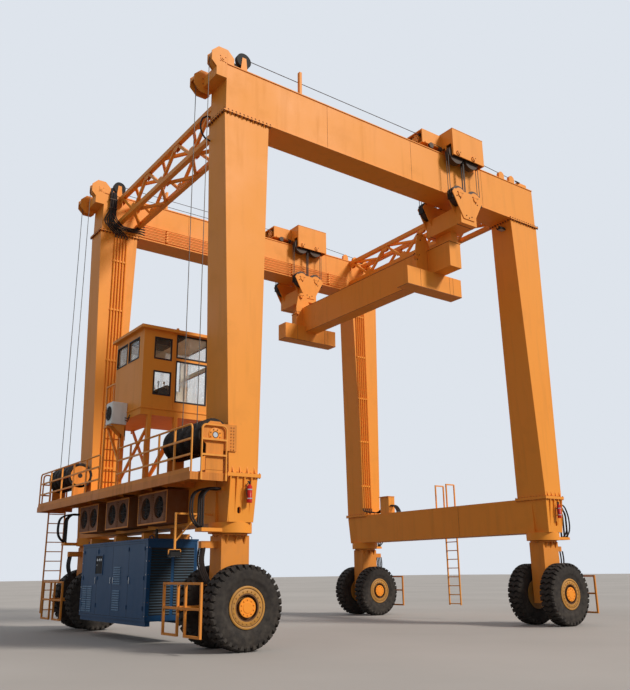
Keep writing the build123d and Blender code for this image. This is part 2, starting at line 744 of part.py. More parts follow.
# Trolleys, a housing over each girder with sheaves outside both of its faces
trolley_x = centre_x + trolley_position
rail_face = girder_top + rail_height
housing_bottom = girder_top - housing_drop
housing_top = girder_top + housing_rise
pin_z = girder_top - trolley_pin_drop
pins_x = (trolley_x - sheave_pitch, trolley_x + sheave_pitch)
for name, (y, side_y) in sides.items():
    with BuildPart() as trolley:
        block((trolley_x - housing_left, trolley_x + housing_right),
              (y - housing_half_width, y + housing_half_width),
              (housing_bottom, housing_top))
        block((trolley_x - housing_left + housing_plate, trolley_x + housing_right - housing_plate),
              (y - housing_half_width + housing_plate, y + housing_half_width - housing_plate),
              (housing_bottom, housing_top - housing_plate), mode=Mode.SUBTRACT)
        block((trolley_x - housing_left - 10, trolley_x + housing_right + 10),
              (y - block_inner_offset, y + block_inner_offset), (housing_bottom, rail_face + 120),
              mode=Mode.SUBTRACT)
        for wall_y in (y - block_inner_offset, y + block_inner_offset - housing_plate):
            block((trolley_x - housing_left, trolley_x + housing_right), (wall_y, wall_y + housing_plate),
                  (housing_bottom, housing_top))
        for offset in (-sheave_offset, sheave_offset):
            block((trolley_x - housing_left - 10, trolley_x - housing_left + housing_plate + 10),
                  (y + offset - sheave_width / 2 - 20, y + offset + sheave_width / 2 + 20),
                  (housing_bottom - 10, pin_z + sheave_radius + 20), mode=Mode.SUBTRACT)
        for wheel_x in (trolley_x - housing_left + 130, trolley_x + housing_right - 130):
            for rail_y in (y - rail_spacing / 2, y + rail_spacing / 2):
                disc((wheel_x, rail_y - 50, rail_face + seat_gap + 110), (0, 1, 0), 110, 100)
            disc((wheel_x, y - block_inner_offset, rail_face + seat_gap + 110), (0, 1, 0), 35,
                 2 * block_inner_offset)
        for pin_x in pins_x:
            for wall_y in (y - housing_half_width - 20, y + block_inner_offset - housing_plate):
                disc((pin_x, wall_y, pin_z), (0, 1, 0), 55,
                     housing_half_width - block_inner_offset + housing_plate + 20)
            for wall_y in (y - housing_half_width - pin_boss_height, y + housing_half_width - 1):
                disc((pin_x, wall_y, pin_z), (0, 1, 0), pin_boss_radius, pin_boss_height + 1)
        motor_z = rail_face + 130
        motor_start = trolley_x - housing_left - motor_length
        block((motor_start, trolley_x - housing_left + 1),
              (y - motor_width / 2, y + motor_width / 2), (motor_z, motor_z + motor_height))
        block((motor_start - 1, motor_start + motor_recess),
              (y - motor_width / 2 + motor_wall, y + motor_width / 2 - motor_wall),
              (motor_z + motor_wall, motor_z + motor_height - motor_wall), mode=Mode.SUBTRACT)
        disc((motor_start + 20, y, motor_z + motor_height / 2), (1, 0, 0), motor_radius, motor_recess)
        block((trolley_x + housing_right - 1, trolley_x + housing_right + end_box_length),
              (y - end_box_width / 2, y + end_box_width / 2),
              (girder_top + end_box_span[0], girder_top + end_box_span[1]))
    finish(trolley.part, f"trolley_{name}")
    with BuildPart() as sheaves:
        for pin_x in pins_x:
            for offset in (-sheave_offset, sheave_offset):
                with BuildSketch(Plane(origin=(pin_x, y + offset - sheave_width / 2, pin_z), x_dir=(1, 0, 0),
                                       z_dir=(0, -1, 0))):
                    Circle(sheave_radius)
                    Circle(55, mode=Mode.SUBTRACT)
                extrude(amount=-sheave_width)
    finish(sheaves.part, f"trolley_sheaves_{name}")

# Rope falls between the trolley sheaves and the hook block sheaves
rope_line = sheave_radius + rope_diameter / 2 + seat_gap
fall_places = [
    (pin_x + reach * rope_line, y + offset + groove * rope_pair_gap / 2)
    for y, side_y in sides.values()
    for pin_x in pins_x
    for reach in (-1, 1)
    for offset in (-sheave_offset, sheave_offset)
    for groove in (-1, 1)
]
with BuildPart() as falls:
    with BuildSketch(Plane.XY.offset(block_pin_height)):
        with Locations(*fall_places):
            RegularPolygon(rope_diameter / 2, 6)
    extrude(amount=pin_z - block_pin_height)
finish(falls.part, "rope_falls")

# Hook blocks, a yoke under each girder with a kite plate on both sides of every sheave pair
for name, (y, side_y) in sides.items():
    with BuildPart() as hook_block:
        for offset in (-block_outer_offset, -block_inner_offset - block_plate, block_inner_offset,
                       block_outer_offset - block_plate):
            with BuildSketch(Plane(origin=(trolley_x, y + offset, block_pin_height), x_dir=(1, 0, 0),
                                   z_dir=(0, -1, 0))):
                with BuildLine():
                    Polyline((-block_half_length, 20), (-block_half_length + 90, 150),
                             (block_half_length - 90, 150),
                             (block_half_length, 20), (240, yoke_bottom + 160 - block_pin_height),
                             (-240, yoke_bottom + 160 - block_pin_height), (-block_half_length, 20))
                make_face()
                for pin_side in (-1, 1):
                    with Locations((pin_side * sheave_pitch, 0)):
                        Circle(block_hump)
            extrude(amount=-block_plate)
        with BuildSketch(Plane(origin=(trolley_x, y - block_outer_offset + block_plate,
                                       yoke_bottom + yoke_height / 2),
                               x_dir=(1, 0, 0), z_dir=(0, -1, 0))):
            Rectangle(yoke_length, yoke_height)
        extrude(amount=-2 * (block_outer_offset - block_plate))
        for pin_x in pins_x:
            for wall_y in (y - block_outer_offset - 25, y + block_inner_offset):
                disc((pin_x, wall_y, block_pin_height), (0, 1, 0), 55,
                     block_outer_offset - block_inner_offset + 25)
    finish(hook_block.part, f"hook_block_{name}")

with BuildPart() as block_sheaves:
    for name, (y, side_y) in sides.items():
        for pin_x in pins_x:
            for offset in (-sheave_offset, sheave_offset):
                with BuildSketch(Plane(origin=(pin_x, y + offset - sheave_width / 2, block_pin_height),
                                       x_dir=(1, 0, 0), z_dir=(0, -1, 0))):
                    Circle(sheave_radius)
                    Circle(55, mode=Mode.SUBTRACT)
                extrude(amount=-sheave_width)
finish(block_sheaves.part, "hook_block_sheaves")

# Hangers between the yokes and the lifting beam
beam_x = trolley_x + cross_beam_shift
hanger_bottom = cross_beam_bottom + cross_beam_height
hanger_top = hanger_bottom + hanger_height
with BuildPart() as hangers:
    for name, (y, side_y) in sides.items():
        hanger_y = y - side_y * hanger_inset
        neck_y = y - side_y * neck_inset
        block((trolley_x - hanger_length / 2, trolley_x + hanger_length / 2),
              (hanger_y - hanger_width / 2, hanger_y + hanger_width / 2), (hanger_bottom, hanger_top))
        block((trolley_x - neck_length / 2, trolley_x + neck_length / 2),
              (neck_y - neck_width / 2, neck_y + neck_width / 2), (hanger_top, yoke_bottom))
finish(hangers.part, "beam_hangers")

# Lifting beam: one main beam on two cross beams
cross_outer = leg_pitch_y / 2 - hanger_inset - hanger_width / 2 + cross_beam_lap
main_beam_half = leg_pitch_y / 2 - hanger_inset - hanger_width / 2 - 10
with BuildPart() as lifting_beam:
    block((beam_x - main_beam_width / 2, beam_x + main_beam_width / 2),
          (centre_y - main_beam_half, centre_y + main_beam_half),
          (main_beam_bottom, main_beam_bottom + main_beam_height))
    for side_y in (-1, 1):
        link_y = centre_y + side_y * main_beam_half
        with BuildSketch(Plane(origin=(trolley_x, link_y, 0), x_dir=(-1, 0, 0), z_dir=(0, 1, 0))):
            with Locations((link_head_left, link_head_height)):
                Circle(link_head_radius)
            with Locations((link_foot_left, main_beam_bottom + main_beam_height / 2)):
                Rectangle(link_foot_width, main_beam_height)
            make_hull()
        extrude(amount=-side_y * link_plate)
        for boss_left, boss_z in link_bosses:
            disc((trolley_x - boss_left, link_y - side_y * link_plate, boss_z), (0, -side_y, 0),
                 link_boss_radius,
                 link_plate)
        cross_y = centre_y + side_y * (cross_outer - cross_beam_width / 2)
        block((beam_x - cross_beam_length / 2, beam_x + cross_beam_length / 2),
              (cross_y - cross_beam_width / 2, cross_y + cross_beam_width / 2),
              (cross_beam_bottom, hanger_bottom))
finish(lifting_beam.part, "lifting_beam")

# Deck along the lower left beam
deck_outer = left_x - deck_reach
deck_inner = left_x - beam_width / 2
deck_start = near_y - deck_near_end
deck_end = far_y + deck_far_end
with BuildPart() as deck:
    with BuildSketch(Plane.XY.offset(deck_top)):
        with Locations(((deck_outer + deck_inner) / 2, (deck_start + deck_end) / 2)):
            Rectangle(deck_inner - deck_outer, deck_end - deck_start)
        for leg_y in (near_y, far_y):
            with Locations((left_x, leg_y)):
                Rectangle(leg_foot_outer * 2 + 2 * flange_lip + 20, leg_foot_depth + 2 * flange_lip + 20,
                          mode=Mode.SUBTRACT)
    extrude(amount=-deck_thickness)
    block((deck_outer, deck_outer + 60), (deck_start, deck_end), (deck_top - deck_edge_depth, deck_top))
    for cross_y in (deck_start + 30, near_y + 1000, centre_y - 1150, centre_y + 1150, far_y - 1000,
                    far_y + 900, deck_end - 30):
        block((deck_outer, deck_inner - 60), (cross_y - 30, cross_y + 30),
              (deck_top - deck_edge_depth, deck_top))
finish(deck.part, "deck")

# Handrails, closed frames with rounded top corners along the outer edge and both ends of the deck
rail_x = deck_outer + rail_bar
cab_outer = left_x - cab_outer_reach
cab_inner = cab_outer + cab_length
cab_start = centre_y - cab_near
cab_end = cab_start + cab_width
landing_end = cab_end + landing_depth


def rail_frame(first, last, bays):
    """One guard frame between two places on the deck: a bent top rail, posts and two lower rails."""
    top_z = deck_top + rail_top - rail_bar / 2
    foot, head = (*first, deck_top), (*first, top_z)
    rail([foot, head, (*last, top_z), (*last, deck_top)], rail_corner, rail_bar)
    for share in rail_shares:
        bar((*first, deck_top + rail_top * share), (*last, deck_top + rail_top * share), rail_bar)
    for number in range(1, bays):
        post = [start + (end - start) * number / bays for start, end in zip(first, last)]
        bar((*post, deck_top), (*post, top_z), rail_bar)


with BuildPart() as outer_rail:
    rail_frame((rail_x, deck_start + rail_bar), (rail_x, cab_end - 2 * rail_bar), 5)
    rail_frame((rail_x, landing_end + ladder_gate), (rail_x, deck_end - rail_bar), 5)
finish(outer_rail.part, "handrail_outer")

with BuildPart() as end_rails:
    near_rail_y = deck_start - near_rail_gap - rail_bar / 2
    far_rail_y = deck_end - rail_bar
    near_posts = [deck_outer + place for place in near_rail_places]
    rail_frame((near_posts[0], near_rail_y), (near_posts[1], near_rail_y), 1)
    for post_x in near_posts:
        bar((post_x, near_rail_y, deck_top - deck_edge_depth), (post_x, near_rail_y, deck_top), rail_bar)
        block((post_x - rail_bar / 2, post_x + rail_bar / 2), (near_rail_y, deck_start),
              (deck_top - deck_edge_depth, deck_top - deck_edge_depth + 80))
    rail_frame((rail_x + 2 * rail_bar, far_rail_y), (rail_x + far_rail_length, far_rail_y), 1)
finish(end_rails.part, "handrail_ends")

# Cab: floor frame on posts with a landing, four walls with windows, roof and glass
floor_z = deck_top + cab_floor_height
wall_top = floor_z + cab_height
post_xs = (deck_outer + 130, deck_outer + 850)
post_ys = (cab_start + cab_post / 2, cab_end - cab_post / 2)
beam_post_x = left_x + beam_width / 2 - cab_post / 2
with BuildPart() as cab_base:
    block((cab_outer, cab_inner), (cab_start, cab_end), (floor_z - cab_floor_depth, floor_z))
    block((deck_outer + 10, post_xs[1] + cab_post / 2), (cab_end - 1, landing_end),
          (floor_z - 100, floor_z - landing_plate_drop))
    for post_y in post_ys:
        for post_x in post_xs:
            bar((post_x, post_y, deck_top), (post_x, post_y, floor_z - cab_floor_depth), cab_post)
        bar((beam_post_x, post_y, base_top), (beam_post_x, post_y, floor_z - cab_floor_depth), cab_post)
        bar((post_xs[1], post_y, deck_top + 150), (beam_post_x, post_y, floor_z - cab_floor_depth), 60)
    for brace_x in post_xs:
        bar((brace_x, post_ys[1], deck_top + 600), (brace_x, cab_end + landing_depth - 60, floor_z - 100), 60)
        bar((brace_x, post_ys[0], floor_z - 400), (brace_x, post_ys[1], deck_top + 200), 60)
finish(cab_base.part, "cab_base")

near_windows = ((310, 770, 1320, 1880), (310, 770, 380, 980), (930, 1800, 1420, 2030), (930, 1800, 240, 1320))
outer_windows = ((300, 960, 1350, 1900), (1090, 1740, 1350, 1900))
with BuildPart() as near_wall:
    block((cab_outer, cab_inner), (cab_start, cab_start + cab_wall), (floor_z, wall_top))
    for low_x, high_x, low_z, high_z in near_windows:
        block((cab_outer + low_x, cab_outer + high_x), (cab_start, cab_start + cab_wall),
              (floor_z + low_z, floor_z + high_z), mode=Mode.SUBTRACT)
finish(near_wall.part, "cab_wall_near")
with BuildPart() as outer_wall:
    block((cab_outer, cab_outer + cab_wall), (cab_start + cab_wall, cab_end - cab_wall), (floor_z, wall_top))
    for low_y, high_y, low_z, high_z in outer_windows:
        block((cab_outer, cab_outer + cab_wall), (cab_start + low_y, cab_start + high_y),
              (floor_z + low_z, floor_z + high_z), mode=Mode.SUBTRACT)
finish(outer_wall.part, "cab_wall_outer")
with BuildPart() as inner_wall:
    block((cab_inner - cab_wall, cab_inner), (cab_start + cab_wall, cab_end - cab_wall), (floor_z, wall_top))
    for low_z, high_z in ((1420, 2030), (240, 1320)):
        block((cab_inner - cab_wall, cab_inner), (cab_start + 150, cab_end - 150),
              (floor_z + low_z, floor_z + high_z), mode=Mode.SUBTRACT)
finish(inner_wall.part, "cab_wall_inner")
with BuildPart() as far_wall:
    block((cab_outer, cab_inner), (cab_end - cab_wall, cab_end), (floor_z, wall_top))
    block((cab_outer + 1100, cab_outer + 1900), (cab_end - cab_wall, cab_end),
          (floor_z + 950, floor_z + 1880),
          mode=Mode.SUBTRACT)
finish(far_wall.part, "cab_wall_far")
with BuildPart() as roof:
    block((cab_outer - roof_overhang, cab_inner + roof_overhang),
          (cab_start - roof_overhang, cab_end + roof_overhang),
          (wall_top, wall_top + roof_thickness))
finish(roof.part, "cab_roof")
glass = 8
with BuildPart() as cab_glass:
    for low_x, high_x, low_z, high_z in near_windows:
        block((cab_outer + low_x, cab_outer + high_x), (cab_start + cab_wall / 2,
                                                        cab_start + cab_wall / 2 + glass),
              (floor_z + low_z, floor_z + high_z))
    for low_y, high_y, low_z, high_z in outer_windows:
        block((cab_outer + cab_wall / 2, cab_outer + cab_wall / 2 + glass),
              (cab_start + low_y, cab_start + high_y),
              (floor_z + low_z, floor_z + high_z))
    for low_z, high_z in ((1420, 2030), (240, 1320)):
        block((cab_inner - cab_wall / 2 - glass, cab_inner - cab_wall / 2), (cab_start + 150, cab_end - 150),
              (floor_z + low_z, floor_z + high_z))
    block((cab_outer + 1100, cab_outer + 1900), (cab_end - cab_wall / 2 - glass, cab_end - cab_wall / 2),
          (floor_z + 950, floor_z + 1880))
finish(cab_glass.part, "cab_glass")

# Air conditioner on the outer side of the cab
with BuildPart() as conditioner:
    block((cab_outer - conditioner_length, cab_outer), (cab_start + 850, cab_start + 1250),
          (floor_z - 320, floor_z + 250))
finish(conditioner.part, "air_conditioner")

# Ladders: up to the cab, up to the deck, and over the right beam
ladder_y = landing_end + rail_bar / 2
stile_xs = (deck_outer + 60, deck_outer + 60 + ladder_width)
landing_rail_x = post_xs[1]
hoop_z = floor_z + landing_rail_height
ladder_parts = []
with BuildPart() as cab_ladder:
    for stile_x in stile_xs:
        bar((stile_x, ladder_y, deck_top), (stile_x, ladder_y, hoop_z), rail_bar)
    for number in range(1, int(cab_floor_height / rung_pitch) + 1):
        rung_z = deck_top + number * rung_pitch
        bar((stile_xs[0], ladder_y, rung_z), (stile_xs[1], ladder_y, rung_z), rung_width)
    for share in (0.5, 1):
        level = floor_z + landing_rail_height * share - rail_bar / 2
        bar((stile_xs[1], ladder_y, level), (landing_rail_x + rail_bar / 2, ladder_y, level), rail_bar)
    bar((landing_rail_x, ladder_y, floor_z - cab_floor_depth), (landing_rail_x, ladder_y, hoop_z), rail_bar)
ladder_parts.append(cab_ladder.part)
for side_rail_x in (stile_xs[0], landing_rail_x):
    with BuildPart() as side_rail:
        for share in (0.5, 1):
            level = floor_z + landing_rail_height * share - rail_bar / 2
            bar((side_rail_x, cab_end, level), (side_rail_x, landing_end, level), rail_bar)
        bar((side_rail_x, landing_end - landing_depth / 2, floor_z - landing_plate_drop),
            (side_rail_x, landing_end - landing_depth / 2, hoop_z - rail_bar / 2), rail_bar)
    ladder_parts.append(side_rail.part)
finish(Compound([solid for piece in ladder_parts for solid in piece.solids()]), "cab_ladder")

with BuildPart() as access_ladder:
    ladder_y = deck_end + rail_bar / 2
    ladder_start = deck_outer + 400
    for stile_x in (ladder_start, ladder_start + ladder_width + 120):
        bar((stile_x, ladder_y, access_ladder_bottom), (stile_x, ladder_y, deck_top + rail_top), rail_bar)
    rung_count = int((deck_top - access_ladder_bottom) / rung_pitch)
    for number in range(rung_count + 1):
        bar((ladder_start, ladder_y, access_ladder_bottom + 100 + number * rung_pitch),
            (ladder_start + ladder_width + 120, ladder_y, access_ladder_bottom + 100 + number * rung_pitch),
            30)
finish(access_ladder.part, "access_ladder")

with BuildPart() as beam_ladder:
    ladder_x = right_x + beam_width / 2 + 70
    ladder_start = centre_y - 260
    for stile_y in (ladder_start, ladder_start + ladder_width + 120):
        bar((ladder_x, stile_y, access_ladder_bottom), (ladder_x, stile_y, base_top + 850), rail_bar)
        bar((ladder_x, stile_y, base_top + 850), (ladder_x - 400, stile_y, base_top + 850), rail_bar)
        bar((ladder_x - 400, stile_y, base_top), (ladder_x - 400, stile_y, base_top + 850 + rail_bar / 2),
            rail_bar)
        for tie_z in (beam_bottom + 150, base_top - 150):
            bar((right_x + beam_width / 2, stile_y, tie_z), (ladder_x, stile_y, tie_z), 30)
    rung_count = int((base_top - access_ladder_bottom) / rung_pitch)
    for number in range(rung_count + 1):
        bar((ladder_x, ladder_start, access_ladder_bottom + 50 + number * rung_pitch),
            (ladder_x, ladder_start + ladder_width + 120, access_ladder_bottom + 50 + number * rung_pitch),
            30)
finish(beam_ladder.part, "beam_ladder")

# Generator under the lower left beam, its cradle, and the units under the deck
generator_x = left_x - generator_reach
generator_start = near_y + generator_near
generator_top = generator_bottom + generator_height
with BuildPart() as generator:
    block((generator_x, generator_x + generator_width), (generator_start, generator_start + generator_length),
          (generator_bottom + skid_height, generator_top))
    for skid_x in (generator_x + skid_inset, generator_x + generator_width - skid_inset - skid_width):
        block((skid_x, skid_x + skid_width), (generator_start + skid_inset,
                                              generator_start + generator_length - skid_inset),
              (generator_bottom, generator_bottom + skid_height))
    block((generator_x - roof_lip, generator_x + generator_width + roof_lip),
          (generator_start - roof_lip, generator_start + generator_length + roof_lip),
          (generator_top - roof_lip_height, generator_top))
finish(generator.part, "generator_housing")
with BuildPart() as cradle:
    for share in (0.1, 0.5, 0.9):
        cross_y = generator_start + generator_length * share
        block((generator_x + 40, generator_x + generator_width - 40),
              (cross_y - cradle_bar / 2, cross_y + cradle_bar / 2),
              (generator_top, generator_top + cradle_bar))
        block((left_x - cradle_bar, left_x + cradle_bar),
              (cross_y - cradle_bar / 2, cross_y + cradle_bar / 2),
              (generator_top + cradle_bar, beam_bottom))
finish(cradle.part, "generator_cradle")
with BuildPart() as units:
    for low, high in unit_spans:
        unit_top = deck_top - deck_edge_depth - unit_gap
        block((deck_inner - unit_depth, deck_inner), (centre_y + low, centre_y + high),
              (unit_top - unit_height, unit_top))
        with BuildSketch(Plane(origin=(deck_inner - unit_depth, centre_y + (low + high) / 2,
                                       unit_top - unit_height / 2),
                               x_dir=(0, -1, 0), z_dir=(-1, 0, 0))):
            with Locations((-unit_fan_pitch / 2, 0), (unit_fan_pitch / 2, 0)):
                Circle(unit_fan_radius)
        extrude(amount=-unit_fan_recess, mode=Mode.SUBTRACT)
finish(units.part, "under_deck_units")

# Pipes down the far legs and along the far girder, held by clips
pipe_reach = pipe_gap + pipe_diameter / 2
pipe_places = [(number - (pipe_count - 1) / 2) * pipe_pitch for number in range(pipe_count)]
half_bundle = pipe_places[-1] + pipe_diameter
leg_pipes_low = base_top + flange_thickness + foot_gusset_height + 20
leg_pipes_high = girder_underside - flange_thickness - gusset_height - 20
girder_pipes_y = far_y - girder_plate_width / 2 - pipe_reach
with BuildPart() as pipes:
    for x in (left_x + 80, right_x - 300):
        low_y = far_y - leg_half_depth(leg_pipes_low) - pipe_reach
        high_y = far_y - leg_half_depth(leg_pipes_high) - pipe_reach
        round_bars([(x + place, low_y, leg_pipes_low) for place in pipe_places],
                   (0, high_y - low_y, leg_pipes_high - leg_pipes_low), pipe_diameter)
        for number in range(leg_clip_count):
            clip_z = leg_pipes_low + (leg_pipes_high - leg_pipes_low) * (number + 0.5) / leg_clip_count
            face_y = far_y - leg_half_depth(clip_z)
            block((x - half_bundle, x + half_bundle), (face_y - pipe_reach, face_y - clip_lean),
                  (clip_z - clip_width / 2, clip_z + clip_width / 2))
    girder_pipes_start = left_x + leg_top_inner + 200
    girder_pipes_end = right_x - leg_top_inner - 300
    bundle_z = girder_underside + 340
    round_bars([(girder_pipes_start, girder_pipes_y, bundle_z + place) for place in pipe_places],
               (girder_pipes_end - girder_pipes_start, 0, 0), pipe_diameter)
    for number in range(girder_clip_count):
        clip_x = girder_pipes_start + (girder_pipes_end - girder_pipes_start) * (number
                                                                                 + 0.5) / girder_clip_count
        block((clip_x - clip_width / 2, clip_x + clip_width / 2),
              (girder_pipes_y, far_y - girder_web_width / 2),
              (bundle_z - half_bundle, bundle_z + half_bundle))
finish(pipes.part, "pipe_runs")

# Cabinet with a rain hood on the right lower beam
cabinet_y = centre_y + cabinet_start
cabinet_x = right_x - beam_width / 2 + 100
with BuildPart() as cabinet:
    block((cabinet_x, cabinet_x + cabinet_depth), (cabinet_y, cabinet_y + cabinet_width),
          (base_top, base_top + cabinet_height))
    block((cabinet_x - 3 * cabinet_hood, cabinet_x + cabinet_depth),
          (cabinet_y - cabinet_hood, cabinet_y + cabinet_width + cabinet_hood),
          (base_top + cabinet_height - cabinet_hood, base_top + cabinet_height))
finish(cabinet.part, "beam_cabinet")
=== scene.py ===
"""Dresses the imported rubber-tyred gantry crane and sets up its view."""

import itertools
import logging
import math
from dataclasses import dataclass, field
from enum import Enum
from functools import cached_property

import bmesh
import bpy
from mathutils import Matrix, Vector


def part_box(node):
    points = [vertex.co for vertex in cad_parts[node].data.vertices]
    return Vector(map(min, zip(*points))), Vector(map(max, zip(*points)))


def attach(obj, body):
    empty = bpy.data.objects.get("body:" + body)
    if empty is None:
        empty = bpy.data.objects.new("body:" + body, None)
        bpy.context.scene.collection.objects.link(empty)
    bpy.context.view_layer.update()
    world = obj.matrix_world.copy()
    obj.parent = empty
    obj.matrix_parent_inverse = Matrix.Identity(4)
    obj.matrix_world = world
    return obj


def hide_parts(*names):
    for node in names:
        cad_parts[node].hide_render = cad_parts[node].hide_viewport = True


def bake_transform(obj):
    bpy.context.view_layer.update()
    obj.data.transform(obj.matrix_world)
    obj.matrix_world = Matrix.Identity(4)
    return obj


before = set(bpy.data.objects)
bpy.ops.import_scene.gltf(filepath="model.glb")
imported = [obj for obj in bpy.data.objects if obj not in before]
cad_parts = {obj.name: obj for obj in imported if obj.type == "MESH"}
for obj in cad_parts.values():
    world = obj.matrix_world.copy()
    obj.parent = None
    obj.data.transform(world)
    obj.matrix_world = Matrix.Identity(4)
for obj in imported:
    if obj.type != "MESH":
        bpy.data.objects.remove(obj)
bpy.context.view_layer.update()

LOG = logging.getLogger("crane")

# Both sides of a middle, and each corner of the crane by its sides along x and y
SIDES = (-1, 1)
CORNERS = {"near_left": (-1, -1), "near_right": (1, -1), "far_left": (-1, 1), "far_right": (1, 1)}
# The corners of a rectangle in order round it
CORNERS_ROUND = ((-1, -1), (1, -1), (1, 1), (-1, 1))
# The directions of the scene
X, Y, Z = Vector((1, 0, 0)), Vector((0, 1, 0)), Vector((0, 0, 1))

# Places of the grid that several sub-assemblies share
LEG_X, GIRDER_Y = 5.59, 4.36
TROLLEY_X, PIN_PITCH = 2.40, 0.345
TROLLEY_PIN_Z, BLOCK_PIN_Z = 14.48, 13.03
ROPE_OFFSETS = (-0.24, 0.26)

# Edges above the first angle are shaded hard, and a piece's bevel softens those above the second
HARD_ANGLE, SOFTENED_ANGLE = math.radians(38), math.radians(40)
# Points that are closer than the first are merged, and a turned form's points keep the second from its axis
MERGED, AXIS_RADIUS = 1e-5, 1e-4

# A rectangle on a panel: lowest and highest place across, then lowest and highest place up
Rect = tuple[float, float, float, float]
# Places of copies, each with the way that it faces or its turns about the axes
Places = list[tuple[Vector, Vector]]


class Body(Enum):
    """The rigid bodies that pieces ride on."""

    FRAME = "frame"
    TROLLEY_NEAR = "trolley_near"
    TROLLEY_FAR = "trolley_far"
    LIFTING_GEAR = "lifting_gear"
    DRUM_NEAR = "drum_near"
    DRUM_FAR = "drum_far"


@dataclass(frozen=True)
class Site:
    """The crane's own grid: x along the girders, y across them, z up, from the ground's middle."""

    x: float
    y: float

    @classmethod
    def find(cls) -> "Site":
        """Gives the grid whose origin lies midway between the girders."""
        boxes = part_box("girder_near"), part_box("girder_far")
        return cls(*(sum(corner[side] for box in boxes for corner in box) / 4 for side in (0, 1)))

    def at(self, x: float, y: float, z: float) -> Vector:
        """Gives the scene's point for a point of the grid."""
        return Vector((x + self.x, y + self.y, z))


at = Site.find().at


def turned(first: Vector, second: Vector, count: int, shift: float = 0.0) -> list[Vector]:
    """Spreads directions evenly over a full turn.

    Args:
        first: The direction at no turn.
        second: The direction at a quarter turn.
        count: The number of directions.
        shift: The first one's turn, as a share of a step.

    Returns:
        The directions.
    """
    turns = [math.tau * (number + shift) / count for number in range(count)]
    return [first * math.cos(turn) + second * math.sin(turn) for turn in turns]


def bend(points: list[Vector], steps: int = 4) -> list[Vector]:
    """Rounds a line of points.

    Args:
        points: The points that the line passes.
        steps: The number of pieces between two of them.

    Returns:
        The rounded line's points.
    """
    line = []
    befores, afters = points[:1] + points, points[2:] + points[-1:]
    for before, start, end, after in zip(befores, points, points[1:], afters):
        for share in (step / steps for step in range(steps)):
            line.append(0.5 * (2 * start + (end - before) * share
                               + (2 * before - 5 * start + 4 * end - after) * share ** 2
                               + (3 * start - before - 3 * end + after) * share ** 3))
    return line + [points[-1]]


class Nodes:
    """Adds nodes and links to one node tree, with a short way to set their sockets."""

    def __init__(self, tree: bpy.types.NodeTree) -> None:
        """Takes the tree that the nodes go into."""
        self.tree = tree

    def feed(self, socket: bpy.types.NodeSocket, value: object) -> None:
        """Links another node's output to an input, or sets the input's value.

        Args:
            socket: The input.
            value: The output or the plain value.
        """
        if isinstance(value, bpy.types.NodeSocket):
            self.tree.links.new(value, socket)
        else:
            socket.default_value = value

    def add(self, kind: str, inputs: dict | None = None, settings: dict | None = None) -> bpy.types.Node:
        """Adds one node.

        Args:
            kind: The node's type name.
            inputs: A value, or another node's output, for each socket by name or number.
            settings: The node's own properties.

        Returns:
            The new node.
        """
        node = self.tree.nodes.new(kind)
        for name, value in (settings or {}).items():
            setattr(node, name, value)
        for name, value in (inputs or {}).items():
            self.feed(node.inputs[name], value)
        return node

    def out(self, kind: str, inputs: dict | None = None, settings: dict | None = None,
            output: int | str = 0) -> bpy.types.NodeSocket:
        """Adds one node and gives one of its outputs."""
        return self.add(kind, inputs, settings).outputs[output]

    def math(self, operation: str, first: object, second: object = 0.0) -> bpy.types.NodeSocket:
        """Adds a math node and gives its output."""
        return self.out("ShaderNodeMath", {0: first, 1: second}, {"operation": operation})

    def ramp(self, value: bpy.types.NodeSocket, low: object, high: float) -> bpy.types.NodeSocket:
        """Stretches a value's range from low..high to 0..1, clamped."""
        inputs = {"Value": value, "From Min": low, "From Max": high}
        return self.out("ShaderNodeMapRange", inputs, {"clamp": True})

    def mix(self, factor: object, first: object, second: object) -> bpy.types.NodeSocket:
        """Mixes two colours and gives the result."""
        return self.out("ShaderNodeMix", {0: factor, 6: first, 7: second}, {"data_type": "RGBA"}, 2)

    def noise(self, place: bpy.types.NodeSocket, scale: float, detail: float) -> bpy.types.NodeSocket:
        """Adds a noise pattern at a scale and gives its value."""
        inputs = {"Vector": place, "Scale": scale, "Detail": detail, "Roughness": 0.55}
        return self.out("ShaderNodeTexNoise", inputs)

    def place(self) -> bpy.types.NodeSocket:
        """Gives the Object coordinates."""
        return self.out("ShaderNodeTexCoord", output="Object")


def linear(colour: tuple[int, int, int]) -> tuple[float, float, float, float]:
    """Turns a colour in screen values into the shader's linear one.

    Args:
        colour: Red, green and blue from 0 to 255.

    Returns:
        The linear values and a full alpha.
    """
    shares = [channel / 255 for channel in colour]
    return (*(share / 12.92 if share <= 0.04045 else ((share + 0.055) / 1.055) ** 2.4
              for share in shares), 1.0)


